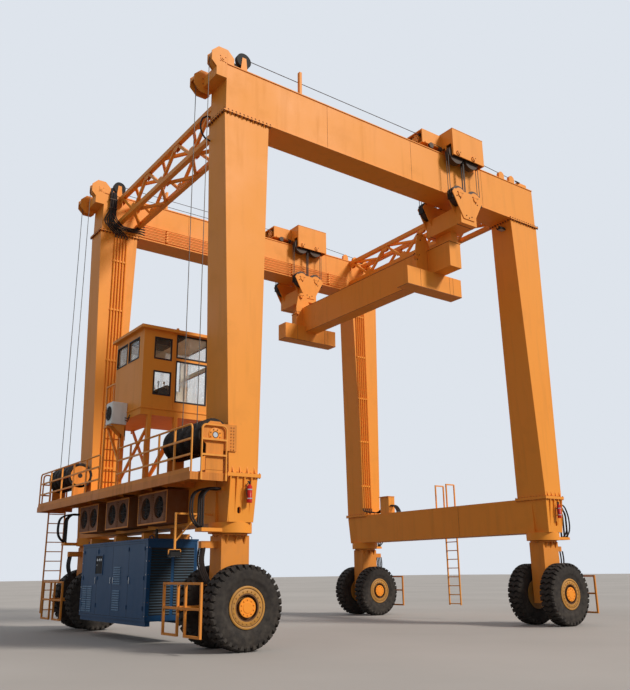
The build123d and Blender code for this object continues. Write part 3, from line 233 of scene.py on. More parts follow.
class SharedEffects:
    """The shader node groups that several finishes use, each made on its first use."""

    def start(self, name: str, inputs: dict[str, float | tuple], outputs: tuple[str, ...]) -> tuple:
        """Begins a group with its sockets.

        Args:
            name: The group's name.
            inputs: The first value of each named input, a number or a colour.
            outputs: The outputs' names, of which Color is a colour.

        Returns:
            The node adder, the group's inputs and the sockets that its results go to.
        """
        tree = bpy.data.node_groups.new(name, "ShaderNodeTree")
        for label, value in inputs.items():
            kind = "NodeSocketColor" if isinstance(value, tuple) else "NodeSocketFloat"
            tree.interface.new_socket(name=label, in_out="INPUT", socket_type=kind).default_value = value
        for label in outputs:
            kind = "NodeSocketColor" if label == "Color" else "NodeSocketFloat"
            tree.interface.new_socket(name=label, in_out="OUTPUT", socket_type=kind)
        nodes = Nodes(tree)
        return nodes, nodes.add("NodeGroupInput").outputs, nodes.add("NodeGroupOutput").inputs

    @cached_property
    def weathering(self) -> bpy.types.NodeTree:
        """Gives the group for sun-faded, streaked and rust-flecked paint.

        Returns:
            The group.
        """
        nodes, source, result = self.start("weathering", {
            "Paint": linear((240, 150, 62)), "Dirt": linear((95, 70, 50)), "Streaks": 0.35, "Rust": 0.3,
            "Fading": 0.3}, ("Color", "Roughness", "Height"))
        place = nodes.place()
        down = nodes.out("ShaderNodeMapping", {"Vector": place, "Scale": (2.6, 2.6, 0.22)})
        clouds = nodes.noise(place, 0.55, 5.0)
        streaks = nodes.ramp(nodes.noise(down, 1.7, 6.0), 0.52, 0.78)
        grime = nodes.ramp(nodes.noise(place, 1.3, 7.0), 0.55, 0.85)
        fleck = nodes.ramp(nodes.noise(place, 9.0, 8.0), 0.66, 0.74)
        patch = nodes.ramp(nodes.noise(place, 0.9, 3.0), 0.5, 0.7)
        bleached = nodes.math("MULTIPLY", nodes.ramp(clouds, 0.35, 0.7), source["Fading"])
        pale = nodes.mix(bleached, source["Paint"], linear((248, 170, 76)))
        darker = nodes.math("MULTIPLY", nodes.math("MAXIMUM", streaks, grime), source["Streaks"])
        rusty = nodes.math("MULTIPLY", nodes.math("MULTIPLY", fleck, patch), source["Rust"])
        dirty = nodes.mix(darker, pale, source["Dirt"])
        rough = nodes.math("ADD", nodes.math("MULTIPLY", darker, 0.4), nodes.math("MULTIPLY", clouds, 0.25))
        peel = nodes.math("MULTIPLY", nodes.noise(place, 45.0, 2.0), 0.15)
        nodes.feed(result["Color"], nodes.mix(rusty, dirty, linear((104, 56, 30))))
        nodes.feed(result["Roughness"], nodes.math("ADD", rough, 0.28))
        nodes.feed(result["Height"], nodes.math("ADD", nodes.math("MULTIPLY", clouds, 0.7), peel))
        return nodes.tree

    @cached_property
    def ground_dust(self) -> bpy.types.NodeTree:
        """Gives the group for the pale dust that settles on what is near the ground.

        Returns:
            The group.
        """
        nodes, source, result = self.start("ground_dust", {
            "Color": linear((40, 38, 36)), "Dust": linear((150, 138, 122)), "Amount": 0.4,
            "Top": 2.0}, ("Color",))
        place = nodes.place()
        height = nodes.out("ShaderNodeSeparateXYZ", {0: place}, output="Z")
        low = nodes.ramp(height, source["Top"], 0.0)
        mottle = nodes.ramp(nodes.noise(place, 7.0, 8.0), 0.35, 0.7)
        spread = nodes.math("MULTIPLY", nodes.math("MULTIPLY", mottle, source["Amount"]),
                            nodes.math("ADD", nodes.math("MULTIPLY", low, 0.7), 0.3))
        nodes.feed(result["Color"], nodes.mix(spread, source["Color"], source["Dust"]))
        return nodes.tree


EFFECTS = SharedEffects()


@dataclass(frozen=True)
class Surface:
    """A material of the crane and the record's material slot that its pieces belong to."""

    name: str
    slot: str
    colour: tuple[int, int, int]

    def dress(self, nodes: Nodes, shader: bpy.types.NodeInputs) -> None:
        """Wires the material, in each kind of surface's own way."""
        raise NotImplementedError

    def material(self) -> bpy.types.Material:
        """Gives the material.

        Returns:
            The material, made on its first use.
        """
        material = bpy.data.materials.get(self.name)
        if material is None:
            material = bpy.data.materials.new(self.name)
            material.use_nodes = True
            tree = material.node_tree
            self.dress(Nodes(tree), tree.nodes["Principled BSDF"].inputs)
        return material


@dataclass(frozen=True)
class Finish(Surface):
    """Paint, metal or rubber, with how much wear, dust and relief it shows."""

    roughness: float = 0.5
    metallic: float = 0.0
    streaks: float = 0.3
    rust: float = 0.3
    fading: float = 0.0
    dust: float = 0.0
    dust_top: float = 2.2
    relief: float = 0.12
    relief_size: float = 0.004
    shine: float = 0.25
    plain_roughness: float = 0.42
    dirt: tuple[int, int, int] = (92, 66, 46)

    def dress(self, nodes: Nodes, shader: bpy.types.NodeInputs) -> None:
        """Wires the weathered surface.

        Args:
            nodes: The material's node adder.
            shader: The Principled BSDF's inputs.
        """
        wear = nodes.add("ShaderNodeGroup", {
            "Paint": linear(self.colour), "Dirt": linear(self.dirt), "Streaks": self.streaks,
            "Rust": self.rust, "Fading": self.fading}, {"node_tree": EFFECTS.weathering}).outputs
        colour = wear["Color"]
        if self.dust > 0:
            dust = {"Color": colour, "Amount": self.dust, "Top": self.dust_top}
            colour = nodes.out("ShaderNodeGroup", dust, {"node_tree": EFFECTS.ground_dust})
        bump = nodes.out("ShaderNodeBump", {
            "Strength": self.relief, "Distance": self.relief_size, "Height": wear["Height"]})
        rough = nodes.math("ADD", wear["Roughness"], self.roughness - self.plain_roughness)
        nodes.feed(shader["Base Color"], colour)
        nodes.feed(shader["Roughness"], rough)
        nodes.feed(shader["Metallic"], self.metallic)
        nodes.feed(shader["Specular IOR Level"], self.shine)
        nodes.feed(shader["Normal"], bump)


@dataclass(frozen=True)
class PlateFinish(Finish):
    """Painted tread plate with raised lozenges."""

    pitch: float = 0.05

    def dress(self, nodes: Nodes, shader: bpy.types.NodeInputs) -> None:
        """Adds the lozenge relief to the plain finish.

        Args:
            nodes: The material's node adder.
            shader: The Principled BSDF's inputs.
        """
        super().dress(nodes, shader)
        place = nodes.place()
        waves = []
        for turn in (0.785, -0.785):
            slanted = nodes.out("ShaderNodeMapping", {"Vector": place, "Rotation": (0, 0, turn)})
            wave = {"Vector": slanted, "Scale": 0.314 / self.pitch}
            waves.append(nodes.out("ShaderNodeTexWave", wave, output=1))
        lozenge = nodes.ramp(nodes.math("MULTIPLY", *waves), 0.45, 0.75)
        before = shader["Normal"].links[0].from_socket
        nodes.feed(shader["Normal"], nodes.out("ShaderNodeBump", {
            "Strength": 0.8, "Distance": 0.003, "Height": lozenge, "Normal": before}))


@dataclass(frozen=True)
class GlassFinish(Surface):
    """Window glass with a trace of dust."""

    clear: float = 0.9
    solid: float = 0.26

    def dress(self, nodes: Nodes, shader: bpy.types.NodeInputs) -> None:
        """Wires the glass with its film of dust.

        Args:
            nodes: The material's node adder.
            shader: The Principled BSDF's inputs.
        """
        film = nodes.ramp(nodes.noise(nodes.place(), 3.0, 6.0), 0.4, 0.8)
        nodes.feed(shader["Base Color"], nodes.mix(film, linear(self.colour), linear((236, 228, 208))))
        nodes.feed(shader["Roughness"], nodes.math("ADD", nodes.math("MULTIPLY", film, 0.12), 0.03))
        nodes.feed(shader["Transmission Weight"], self.clear)
        nodes.feed(shader["IOR"], 1.45)
        nodes.feed(shader["Alpha"], self.solid)


class Palette:
    """The finishes of this crane."""

    ORANGE = Finish("portal_orange", "orange_paint", (241, 151, 50), 0.52, streaks=0.14, rust=0.2,
                    fading=0.12)
    ORANGE_DARK = Finish("low_orange", "orange_paint", (226, 139, 48), 0.56, rust=0.4, fading=0.1, dust=0.12,
                         dust_top=3.0)
    DECK = PlateFinish("tread_plate_orange", "orange_paint", (214, 128, 48), 0.55, streaks=0.4, rust=0.6,
                       fading=0.15)
    RAIL = Finish("rail_orange", "orange_paint", (238, 156, 62), rust=0.45, fading=0.2)
    RUST = Finish("rusty_bolt", "orange_paint", (112, 58, 32), 0.7, 0.1, streaks=0.4, rust=0.8)
    BOLT = Finish("bolt_orange", "orange_paint", (200, 126, 58), 0.5, 0.15, rust=0.8)
    # Seam brown: real weld seams, and on the lifting beam also painted shade lines along edges and under lips
    SEAM_AND_SHADE_LINE = Finish("seam_and_shade_line_brown", "orange_paint", (150, 88, 40), 0.6, streaks=0.4, rust=0.7)
    # Under-deck units: the brown is partly real dust and streaks, and partly painted shade of the deck above
    # them
    UNIT = Finish("unit_brown_painted_shade", "orange_paint", (126, 74, 34), 0.62, streaks=0.5, rust=0.6, dust=0.25,
                  dust_top=4.5)
    RED = Finish("bottle_red", "orange_paint", (190, 26, 24), 0.35, streaks=0.15, rust=0.1)
    CHROME = Finish("bright_steel", "orange_paint", (190, 192, 194), 0.3, 0.9, rust=0.15)
    BLUE = Finish("generator_blue", "blue_paint", (6, 62, 102), 0.48, streaks=0.15, rust=0.1, dust=0.05,
                  dust_top=1.6, dirt=(70, 74, 76))
    # Generator louvres come as a lit and a shaded copy: the lighter blue on the long sides is a painted
    # highlight of the sky on the hoods, and the dark teal on the ends is painted shade
    LOUVRE_HIGHLIT = Finish("louvre_blue", "blue_paint", (34, 88, 124), 0.45, streaks=0.1, rust=0.0)
    LOUVRE_SHADED = Finish("louvre_shade_blue", "blue_paint", (8, 48, 66), 0.55, rust=0.1)
    RIM = Finish("rim_yellow", "rim_paint", (188, 132, 52), streaks=0.5, rust=0.6, fading=0.1, dust=0.3)
    HUB = Finish("hub_orange", "rim_paint", (252, 152, 40), 0.46, streaks=0.15, rust=0.2, fading=0.1,
                 dust=0.06)
    RECESS = Finish("rim_recess_brown", "rim_paint", (104, 68, 40), 0.7, streaks=0.5, rust=0.7, dust=0.2)
    RUBBER = Finish("tyre_black", "tyre", (44, 40, 38), 0.86, streaks=0.1, rust=0.0, dust=0.16, dust_top=2.6,
                    relief=0.35)
    HOSE = Finish("hose_black", "hose_rubber", (44, 38, 36), 0.6, streaks=0.2, rust=0.0)
    DRUM = Finish("drum_black", "drum_steel", (44, 38, 34), 0.42, 0.6, rust=0.5)
    # Rope on the drums: dark partly because it is greased steel, and partly as painted shade of the winch's
    # shadow
    DRUM_ROPE_SHADED = Finish("greased_rope_painted_shade", "steel_rope", (32, 27, 24), 0.5, 0.4, relief=0.3)
    ROPE = Finish("rope_steel", "steel_rope", (84, 80, 76), 0.48, 0.7, relief=0.5)
    IRON = Finish("dark_iron", "sheave_iron", (70, 58, 50), 0.55, 0.3, rust=0.6)
    # Black for dark parts such as lamp housings, fans and the console, and also painted shade in the hand
    # holes, the hook block openings and the cab ceiling
    DARK = Finish("black_and_painted_shade", "sheave_iron", (26, 25, 25), 0.7, streaks=0.1, rust=0.0)
    GREY = Finish("desk_grey", "sheave_iron", (92, 94, 94), 0.6, rust=0.1)
    WHITE = Finish("casing_white", "white_plastic", (232, 234, 230), 0.42, streaks=0.25, rust=0.15)
    CREAM = Finish("lining_cream", "white_plastic", (244, 232, 206), 0.6, streaks=0.08, rust=0.0)
    GLASS = GlassFinish("window_glass", "cab_glass", (242, 240, 230))
    LAMP = GlassFinish("lamp_glass", "cab_glass", (216, 220, 220), 0.4, 1.0)


def stand(name: str, data: bpy.types.ID) -> bpy.types.Object:
    """Puts a mesh, a camera or a lamp into the scene.

    Args:
        name: The object's name.
        data: What the object holds.

    Returns:
        The new object.
    """
    holder = bpy.data.objects.new(name, data)
    bpy.context.scene.collection.objects.link(holder)
    return holder


class Shape:
    """Collects solid forms into one mesh and turns them into a finished piece."""

    def __init__(self) -> None:
        """Starts with an empty mesh."""
        self.mesh = bmesh.new()

    def block(self, low: Vector, high: Vector) -> "Shape":
        """Adds a block between two opposite corners.

        Args:
            low: One corner.
            high: The corner opposite to it.

        Returns:
            The shape itself.
        """
        size = (*(abs(side) for side in high - low), 1)
        place = Matrix.Translation((low + high) / 2) @ Matrix.Diagonal(size)
        bmesh.ops.create_cube(self.mesh, size=1, matrix=place)
        return self

    def skin(self, rings: list[list[Vector]], round_trip: bool = False) -> "Shape":
        """Adds a solid whose skin runs over rings of points.

        Args:
            rings: Each ring's points, as many in every ring.
            round_trip: Whether the last ring joins the first, so that there are no end faces.

        Returns:
            The shape itself.
        """
        rings = [[self.mesh.verts.new(point) for point in ring] for ring in rings]
        faces = []
        for one, two in zip(rings, rings[1:] + rings[:1] if round_trip else rings[1:]):
            for index in range(len(one)):
                after = (index + 1) % len(one)
                faces.append(self.mesh.faces.new((one[index], one[after], two[after], two[index])))
        if not round_trip:
            faces += [self.mesh.faces.new(rings[0][::-1]), self.mesh.faces.new(rings[-1])]
        bmesh.ops.recalc_face_normals(self.mesh, faces=faces)
        return self

    def plate(self, points: list[Vector], depth: Vector) -> "Shape":
        """Adds a flat outline given a thickness.

        Args:
            points: The outline's corners in order.
            depth: The way and distance that it is thickened.

        Returns:
            The shape itself.
        """
        front = [self.mesh.verts.new(point) for point in points]
        back = [self.mesh.verts.new(point + depth) for point in points]
        faces = [self.mesh.faces.new(front), self.mesh.faces.new(back[::-1])]
        for side in zip(front, back, back[1:] + back[:1], front[1:] + front[:1]):
            faces.append(self.mesh.faces.new(side))
        bmesh.ops.recalc_face_normals(self.mesh, faces=faces)
        return self

    def rod(self, start: Vector, end: Vector, radius: float, sides: int = 12,
            end_radius: float | None = None) -> "Shape":
        """Adds a round bar or cone between two points.

        Args:
            start: The first end's centre.
            end: The other end's centre.
            radius: The radius at the start.
            sides: The number of its side faces.
            end_radius: The radius at the end, where it differs.

        Returns:
            The shape itself.
        """
        run = end - start
        place = Matrix.Translation((start + end) / 2) @ run.to_track_quat("Z", "Y").to_matrix().to_4x4()
        bmesh.ops.create_cone(self.mesh, cap_ends=True, segments=sides, radius1=radius,
                              radius2=radius if end_radius is None else end_radius,
                              depth=run.length, matrix=place)
        return self

    def tube(self, points: list[Vector], radius: float, sides: int = 8, closed: bool = False) -> "Shape":
        """Adds a round bar that follows a line of points.

        Args:
            points: The line's points.
            radius: The bar's radius.
            sides: The number of its side faces.
            closed: Whether the line joins its own start.

        Returns:
            The shape itself.
        """
        befores = points[-1:] + points[:-1] if closed else points[:1] + points[:-1]
        afters = points[1:] + points[:1] if closed else points[1:] + points[-1:]
        rings = []
        across = (afters[0] - befores[0]).orthogonal()
        for before, point, after in zip(befores, points, afters):
            along = (after - before).normalized()
            across = (across - along * across.dot(along)).normalized()
            rings.append([point + radius * out for out in turned(across, along.cross(across), sides)])
        return self.skin(rings, closed)

    def lathe(self, centre: Vector, axis: Vector, profile: list[tuple[float, float]],
              sides: int = 48) -> "Shape":
        """Adds a turned form.

        Args:
            centre: The point on the axis that the profile is measured from.
            axis: The axis's direction.
            profile: Distance along the axis and radius of each point, a closed outline.
            sides: The number of steps around.

        Returns:
            The shape itself.
        """
        across = axis.orthogonal().normalized()
        rings = [[centre + axis * reach + out * max(radius, AXIS_RADIUS) for reach, radius in profile]
                 for out in turned(across, axis.cross(across), sides)]
        return self.skin(rings, True)

    def object(self, name: str, finish: Surface, bevel: float = 0.0) -> bpy.types.Object:
        """Turns the collected forms into an object.

        Args:
            name: The piece's name.
            finish: Its finish.
            bevel: The width of its softened edges, or 0.

        Returns:
            The new object, on no body yet.
        """
        data = bpy.data.meshes.new(name)
        bmesh.ops.remove_doubles(self.mesh, verts=self.mesh.verts, dist=MERGED)
        self.mesh.to_mesh(data)
        self.mesh.free()
        data.materials.append(finish.material())
        data.shade_smooth()
        data.set_sharp_from_angle(angle=HARD_ANGLE)
        piece = stand(name, data)
        if bevel > 0:
            soften = piece.modifiers.new("soft_edges", "BEVEL")
            soften.width = bevel
            soften.segments = 2
            soften.limit_method = "ANGLE"
            soften.angle_limit = SOFTENED_ANGLE
        return piece

    def piece(self, name: str, finish: Surface, body: Body | str = Body.FRAME, bevel: float = 0.0,
              slot: str | None = None, instead_of: tuple[str, ...] = ()) -> bpy.types.Object:
        """Turns the collected forms into a finished piece of the crane.

        Args:
            name: The piece's name.
            finish: Its finish.
            body: The body that it rides on.
            bevel: The width of its softened edges, or 0.
            slot: The record's material slot, where it isn't the finish's own.
            instead_of: The CAD nodes that it stands for.

        Returns:
            The piece.
        """
        return mount(self.object(name, finish, bevel), body, slot or finish.slot, instead_of)


def mount(piece: bpy.types.Object, body: Body | str, slot: str,
          instead_of: tuple[str, ...] = ()) -> bpy.types.Object:
    """Puts a piece on its body.

    Args:
        piece: The finished object.
        body: The body that it rides on.
        slot: The record's material slot; not used.
        instead_of: The CAD nodes that it stands for.

    Returns:
        The piece.
    """
    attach(piece, body.value if isinstance(body, Body) else body)
    if instead_of:
        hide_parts(*instead_of)
    LOG.info("%s: %d faces", piece.name, len(piece.data.polygons))
    return piece


class Recipe:
    """A geometry node tree with named inputs, baked into plain meshes."""

    def __init__(self, name: str, inputs: dict[str, str]) -> None:
        """Starts the tree.

        Args:
            name: The tree's name.
            inputs: The kind of each named input besides Geometry and Material.
        """
        self.tree = bpy.data.node_groups.new(name, "GeometryNodeTree")
        self.keys = {}
        sockets = self.tree.interface
        for label, kind in {"Geometry": "Geometry", **inputs, "Material": "Material"}.items():
            socket = sockets.new_socket(name=label, in_out="INPUT", socket_type="NodeSocket" + kind)
            self.keys[label] = socket.identifier
        sockets.new_socket(name="Geometry", in_out="OUTPUT", socket_type="NodeSocketGeometry")
        self.nodes = Nodes(self.tree)
        self.source = self.nodes.add("NodeGroupInput").outputs

    def way(self) -> bpy.types.NodeSocket:
        """Gives the vector that each point carries."""
        settings = {"data_type": "FLOAT_VECTOR"}
        return self.nodes.out("GeometryNodeInputNamedAttribute", {"Name": "way"}, settings)

    def close(self, geometry: bpy.types.NodeSocket) -> None:
        """Ends the tree with real geometry in the named material.

        Args:
            geometry: What the tree has made.
        """
        real = self.nodes.out("GeometryNodeRealizeInstances", {0: geometry})
        dressed = {"Geometry": real, "Material": self.source["Material"]}
        self.nodes.add("NodeGroupOutput", {0: self.nodes.out("GeometryNodeSetMaterial", dressed)})

    def bake(self, name: str, places: Places, values: dict, finish: Surface, body: Body | str = Body.FRAME,
             slot: str | None = None) -> bpy.types.Object:
        """Runs the tree once and keeps its result as a finished piece.

        Args:
            name: The piece's name.
            places: The points that the tree works on, each with the vector that it carries.
            values: A value for each named input.
            finish: The piece's finish.
            body: The body that it rides on.
            slot: The record's material slot, where it isn't the finish's own.

        Returns:
            The piece.
        """
        start = bpy.data.meshes.new(name + "_points")
        start.from_pydata([place for place, way in places], [], [])
        ways = start.attributes.new("way", "FLOAT_VECTOR", "POINT")
        ways.data.foreach_set("vector", [value for place, way in places for value in way])
        carrier = stand(name + "_start", start)
        work = carrier.modifiers.new("recipe", "NODES")
        work.node_group = self.tree
        for label, value in {**values, "Material": finish.material()}.items():
            work[self.keys[label]] = value
        carrier.update_tag()
        bpy.context.view_layer.update()
        seen = carrier.evaluated_get(bpy.context.evaluated_depsgraph_get())
        data = bpy.data.meshes.new_from_object(seen)
        bpy.data.objects.remove(carrier)
        data.name = name
        data.set_sharp_from_angle(angle=HARD_ANGLE)
        return mount(stand(name, data), body, slot or finish.slot)


class BoltField(Recipe):
    """Bolts with washers, set on points that each face their own way."""

    washer_height: float = 0.005
    washer_growth: float = 1.5

    def __init__(self) -> None:
        """Builds the tree that sets one bolt on each point."""
        super().__init__("bolt_field", {
            "Head Radius": "Float", "Head Height": "Float", "Washer Radius": "Float",
            "Washer Height": "Float"})
        nodes, source = self.nodes, self.source
        head = nodes.out("GeometryNodeMeshCylinder", {
            "Vertices": 6, "Radius": source["Head Radius"], "Depth": source["Head Height"]})
        lift = nodes.math("ADD", nodes.math("MULTIPLY", source["Head Height"], 0.5), source["Washer Height"])
        lifted = nodes.out("GeometryNodeTransform", {
            "Geometry": head, "Translation": nodes.out("ShaderNodeCombineXYZ", {2: lift})})
        washer = nodes.out("GeometryNodeMeshCylinder", {
            "Vertices": 12, "Radius": source["Washer Radius"],
            "Depth": nodes.math("MULTIPLY", source["Washer Height"], 2.0)})
        bolt = nodes.add("GeometryNodeJoinGeometry")
        nodes.feed(bolt.inputs[0], lifted)
        nodes.feed(bolt.inputs[0], washer)
        turn = nodes.out("FunctionNodeAlignRotationToVector", {"Vector": self.way()}, {"axis": "Z"})
        self.close(nodes.out("GeometryNodeInstanceOnPoints", {
            "Points": source["Geometry"], "Instance": bolt.outputs[0], "Rotation": turn}))

    def set(self, name: str, places: Places, finish: Surface, radius: float, height: float,
            body: Body | str = Body.FRAME, slot: str | None = None) -> None:
        """Sets bolts on places.

        Args:
            name: The piece's name.
            places: Each bolt's seat and the way its head faces.
            finish: The bolts' finish.
            radius: The heads' radius.
            height: The heads' height.
            body: The body that they ride on.
            slot: The record's material slot, where it isn't the finish's own.
        """
        values = {"Head Radius": radius, "Head Height": height, "Washer Radius": radius * self.washer_growth,
                  "Washer Height": self.washer_height}
        self.bake(name, places, values, finish, body, slot)


class RopeWinding(Recipe):
    """Rope wound side by side on a drum."""

    def __init__(self) -> None:
        """Builds the tree that winds the rope."""
        super().__init__("rope_winding", {
            "Winding Radius": "Float", "Rope Radius": "Float", "Turns": "Float", "Width": "Float",
            "Start": "Vector"})
        nodes, source = self.nodes, self.source
        coil = nodes.out("GeometryNodeCurveSpiral", {
            "Resolution": 28, "Rotations": source["Turns"], "Start Radius": source["Winding Radius"],
            "End Radius": source["Winding Radius"], "Height": source["Width"]})
        section = nodes.out("GeometryNodeCurvePrimitiveCircle", {
            "Resolution": 6, "Radius": source["Rope Radius"]})
        rope = nodes.out("GeometryNodeCurveToMesh", {
            "Curve": coil, "Profile Curve": section, "Fill Caps": True})
        self.close(nodes.out("GeometryNodeTransform", {
            "Geometry": nodes.out("GeometryNodeSetShadeSmooth", {0: rope}), "Translation": source["Start"],
            "Rotation": (-math.pi / 2, 0, 0)}))

    def wind(self, name: str, start: Vector, radius: float, width: float, rope: float, body: Body) -> None:
        """Winds rope on a drum whose axis runs along y.

        Args:
            name: The piece's name.
            start: The winding's first end on the drum's axis.
            radius: The rope line's distance from the axis.
            width: The winding's width along y.
            rope: The rope's radius.
            body: The drum's body.
        """
        self.bake(name, [], {
            "Winding Radius": radius, "Rope Radius": rope, "Turns": width / (2 * rope), "Width": width,
            "Start": tuple(start)}, Palette.DRUM_ROPE_SHADED, body)


class StampField(Recipe):
    """Copies of one shape set on points, each with its own turn."""

    def __init__(self) -> None:
        """Builds the tree that sets one copy on each point."""
        super().__init__("stamp_field", {"Shape": "Object"})
        shape = self.nodes.out("GeometryNodeObjectInfo", {"Object": self.source["Shape"]}, output="Geometry")
        turn = self.nodes.out("FunctionNodeEulerToRotation", {0: self.way()})
        self.close(self.nodes.out("GeometryNodeInstanceOnPoints", {
            "Points": self.source["Geometry"], "Instance": shape, "Rotation": turn}))

    def set(self, name: str, shape: bpy.types.Object, places: Places, finish: Surface,
            body: Body | str = Body.FRAME) -> None:
        """Sets the copies and removes the shape that they were made from.

        Args:
            name: The piece's name.
            shape: The shape to copy, modelled about the origin.
            places: Each copy's place and its turns about x, y and z.
            finish: The copies' finish.
            body: The body that they ride on.
        """
        self.bake(name, places, {"Shape": shape}, finish, body)
        bpy.data.objects.remove(shape)


@dataclass
class Tools:
    """The makers that several sub-assemblies share."""

    bolts: BoltField = field(default_factory=BoltField)
    windings: RopeWinding = field(default_factory=RopeWinding)
    stamps: StampField = field(default_factory=StampField)


@dataclass
class Dressing:
    """What is added to one sub-assembly of the crane."""

    tools: Tools

    def build(self) -> None:
        """Builds its pieces."""


@dataclass
class CadDressing(Dressing):
    """The finish of each carried-over CAD node, named by the start of its name."""

    finishes: dict[Surface, tuple[str, ...]] = field(default_factory=lambda: {
        Palette.ORANGE_DARK: ("steering_", "winch_frame", "generator_cradle"), Palette.RIM: ("rims_",),
        Palette.RUBBER: ("tyres_",), Palette.DRUM: ("winch_drum",), Palette.ROPE: ("winch_ropes",),
        Palette.IRON: ("trolley_sheaves", "hook_block_sheaves"), Palette.DARK: ("guide_sheaves",),
        Palette.DECK: ("deck",), Palette.GLASS: ("cab_glass",), Palette.WHITE: ("air_conditioner",),
        Palette.RAIL: ("handrail", "cab_ladder", "access_ladder", "beam_ladder", "beam_cabinet"),
        # The under-deck units take the brown that holds painted shade of the deck
        Palette.BLUE: ("generator_housing",), Palette.UNIT: ("under_deck_units",),
        Palette.HOSE: ("corner_hoses",),
    })

    def build(self) -> None:
        """Puts a finish on every node, the portal's orange where no other is named."""
        for name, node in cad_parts.items():
            named = [finish for finish, starts in self.finishes.items() if name.startswith(starts)]
            if not node.material_slots:
                node.data.materials.append(None)
            for place in node.material_slots:
                place.material = (named or [Palette.ORANGE])[-1].material()


@dataclass
class WheelDressing(Dressing):
    """Tyre carcasses with their lugs, and the wheels' outer faces."""

    radius: float = 0.90
    offset: float = 0.60
    half_width: float = 0.24
    groove: float = 0.06
    rim_radius: float = 0.44
    lugs: int = 34

    def carcass(self, shape: Shape, centre: Vector) -> None:
        """Adds one tyre's body without its lugs.

        Args:
            shape: The shape that it is added to.
            centre: The tyre's centre.
        """
        half, base = self.half_width, self.radius - self.groove
        outside = [(0.0, base), (half - 0.06, base - 0.004), (half - 0.024, base - 0.02),
                   (half - 0.012, base - 0.05), (half - 0.006, 0.72), (half - 0.010, 0.64),
                   (half - 0.006, 0.60), (half - 0.016, 0.58), (half - 0.034, 0.50),
                   (half - 0.040, self.rim_radius + 0.02), (half - 0.05, self.rim_radius)]
        shape.lathe(centre, Y, outside + [(-reach, radius) for reach, radius in outside[:0:-1]], 64)

    def lug(self) -> bpy.types.Object:
        """Models one wavy lug that crosses the tread and wraps over both shoulders.

        Returns:
            The lug about the origin.
        """
        top, half = self.radius - 0.001, self.half_width
        outside = [(half - 0.001, 0.800, 0.0, 0.044), (half - 0.0015, 0.862, 0.0, 0.064),
                   (half - 0.030, top - 0.006, 0.006, 0.074), (0.160, top, 0.034, 0.070),
                   (0.100, top, 0.066, 0.066), (0.045, top, 0.034, 0.068)]
        rings = []
        for reach, level, turn, width in outside + [(0.0, top, 0.0, 0.074)] + [
                (-reach, *others) for reach, *others in outside[::-1]]:
            inner = min(level - 0.06, self.radius - self.groove - 0.02)
            inset = math.copysign(0.035, reach) if abs(reach) > half - 0.01 else 0.0
            rings.append([
                Y * (reach - shift) + radius * (X * math.sin(turn + flare) + Z * math.cos(turn + flare))
                for radius, flare, shift in ((level, -0.85 * width, 0), (level, 0.85 * width, 0),
                                             (inner, width, inset), (inner, -width, inset))])
        return Shape().skin(rings).object("lug", Palette.RUBBER)

    def faces(self, corner: str, middle: Vector) -> None:
        """Adds the rim's flat ring, its dark recess, the hub's cap and the bolts.

        Args:
            corner: The corner's name.
            middle: The wheel pair's centre.
        """
        ring, recess, hub, nuts, caps = Shape(), Shape(), Shape(), [], []
        body = "wheels_" + corner
        for axis in (-Y, Y):
            face = middle + axis * (self.offset + 0.21)
            ring.lathe(face, axis, [(-0.02, 0.290), (0.004, 0.290), (0.009, 0.296), (0.009, 0.378),
                                    (0.005, 0.384), (-0.02, 0.384)])
            ring.lathe(face, axis, [(-0.02, 0.398), (0.010, 0.398), (0.014, 0.404), (0.015, 0.432),
                                    (0.006, 0.446), (-0.02, 0.446)])
            recess.lathe(face, axis, [(0.001, 0.291), (-0.11, 0.2665), (-0.11, 0.2065), (0.0, 0.2065),
                                      (0.0, 0.2085), (-0.10, 0.2085), (-0.10, 0.2645), (0.003, 0.2645),
                                      (0.003, 0.291)])
            recess.lathe(face, axis, [(-0.02, 0.3838), (0.002, 0.3838), (0.002, 0.3982), (-0.02, 0.3982)])
            hub.lathe(face, axis, [(0.0118, 0.0), (0.0118, 0.20), (0.016, 0.204), (0.022, 0.198),
                                   (0.022, 0.12), (0.030, 0.11), (0.030, 0.0)], 40)
            nuts += [(face + out * 0.335 + axis * 0.009, axis) for out in turned(X, Z, 20)]
            caps += [(face + out * 0.158 + axis * 0.022, axis) for out in turned(X, Z, 10, 0.5)]
        ring.piece("rim_rings_" + corner, Palette.RIM, body)
        recess.piece("rim_recesses_" + corner, Palette.RECESS, body)
        hub.piece("hub_caps_" + corner, Palette.HUB, body)
        self.tools.bolts.set("wheel_nuts_" + corner, nuts, Palette.RIM, 0.013, 0.012, body)
        self.tools.bolts.set("cap_bolts_" + corner, caps, Palette.HUB, 0.013, 0.012, body)

    def build(self) -> None:
        """Dresses all four corners."""
        for corner in CORNERS:
            low, high = (Vector(end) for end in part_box("tyres_" + corner))
            middle = (low + high) / 2
            middle.z = self.radius
            shape = Shape()
            for way in SIDES:
                self.carcass(shape, middle + Y * way * self.offset)
            shape.piece("carcass_" + corner, Palette.RUBBER, "wheels_" + corner,
                        instead_of=("tyres_" + corner,))
            for way, label in zip(SIDES, ("near", "far")):
                places = [(middle + Y * way * self.offset, Y * (math.tau * number / self.lugs + 0.04 * way))
                          for number in range(self.lugs)]
                self.tools.stamps.set(f"lugs_{corner}_{label}", self.lug(), places, Palette.RUBBER,
                                      "wheels_" + corner)
            self.faces(corner, middle)


class Facing(Enum):
    """The way an upright panel looks, as a turn about z from the side towards -y."""

    NEAR = 0.0
    FAR = math.pi
    LEFT = -math.pi / 2
    RIGHT = math.pi / 2


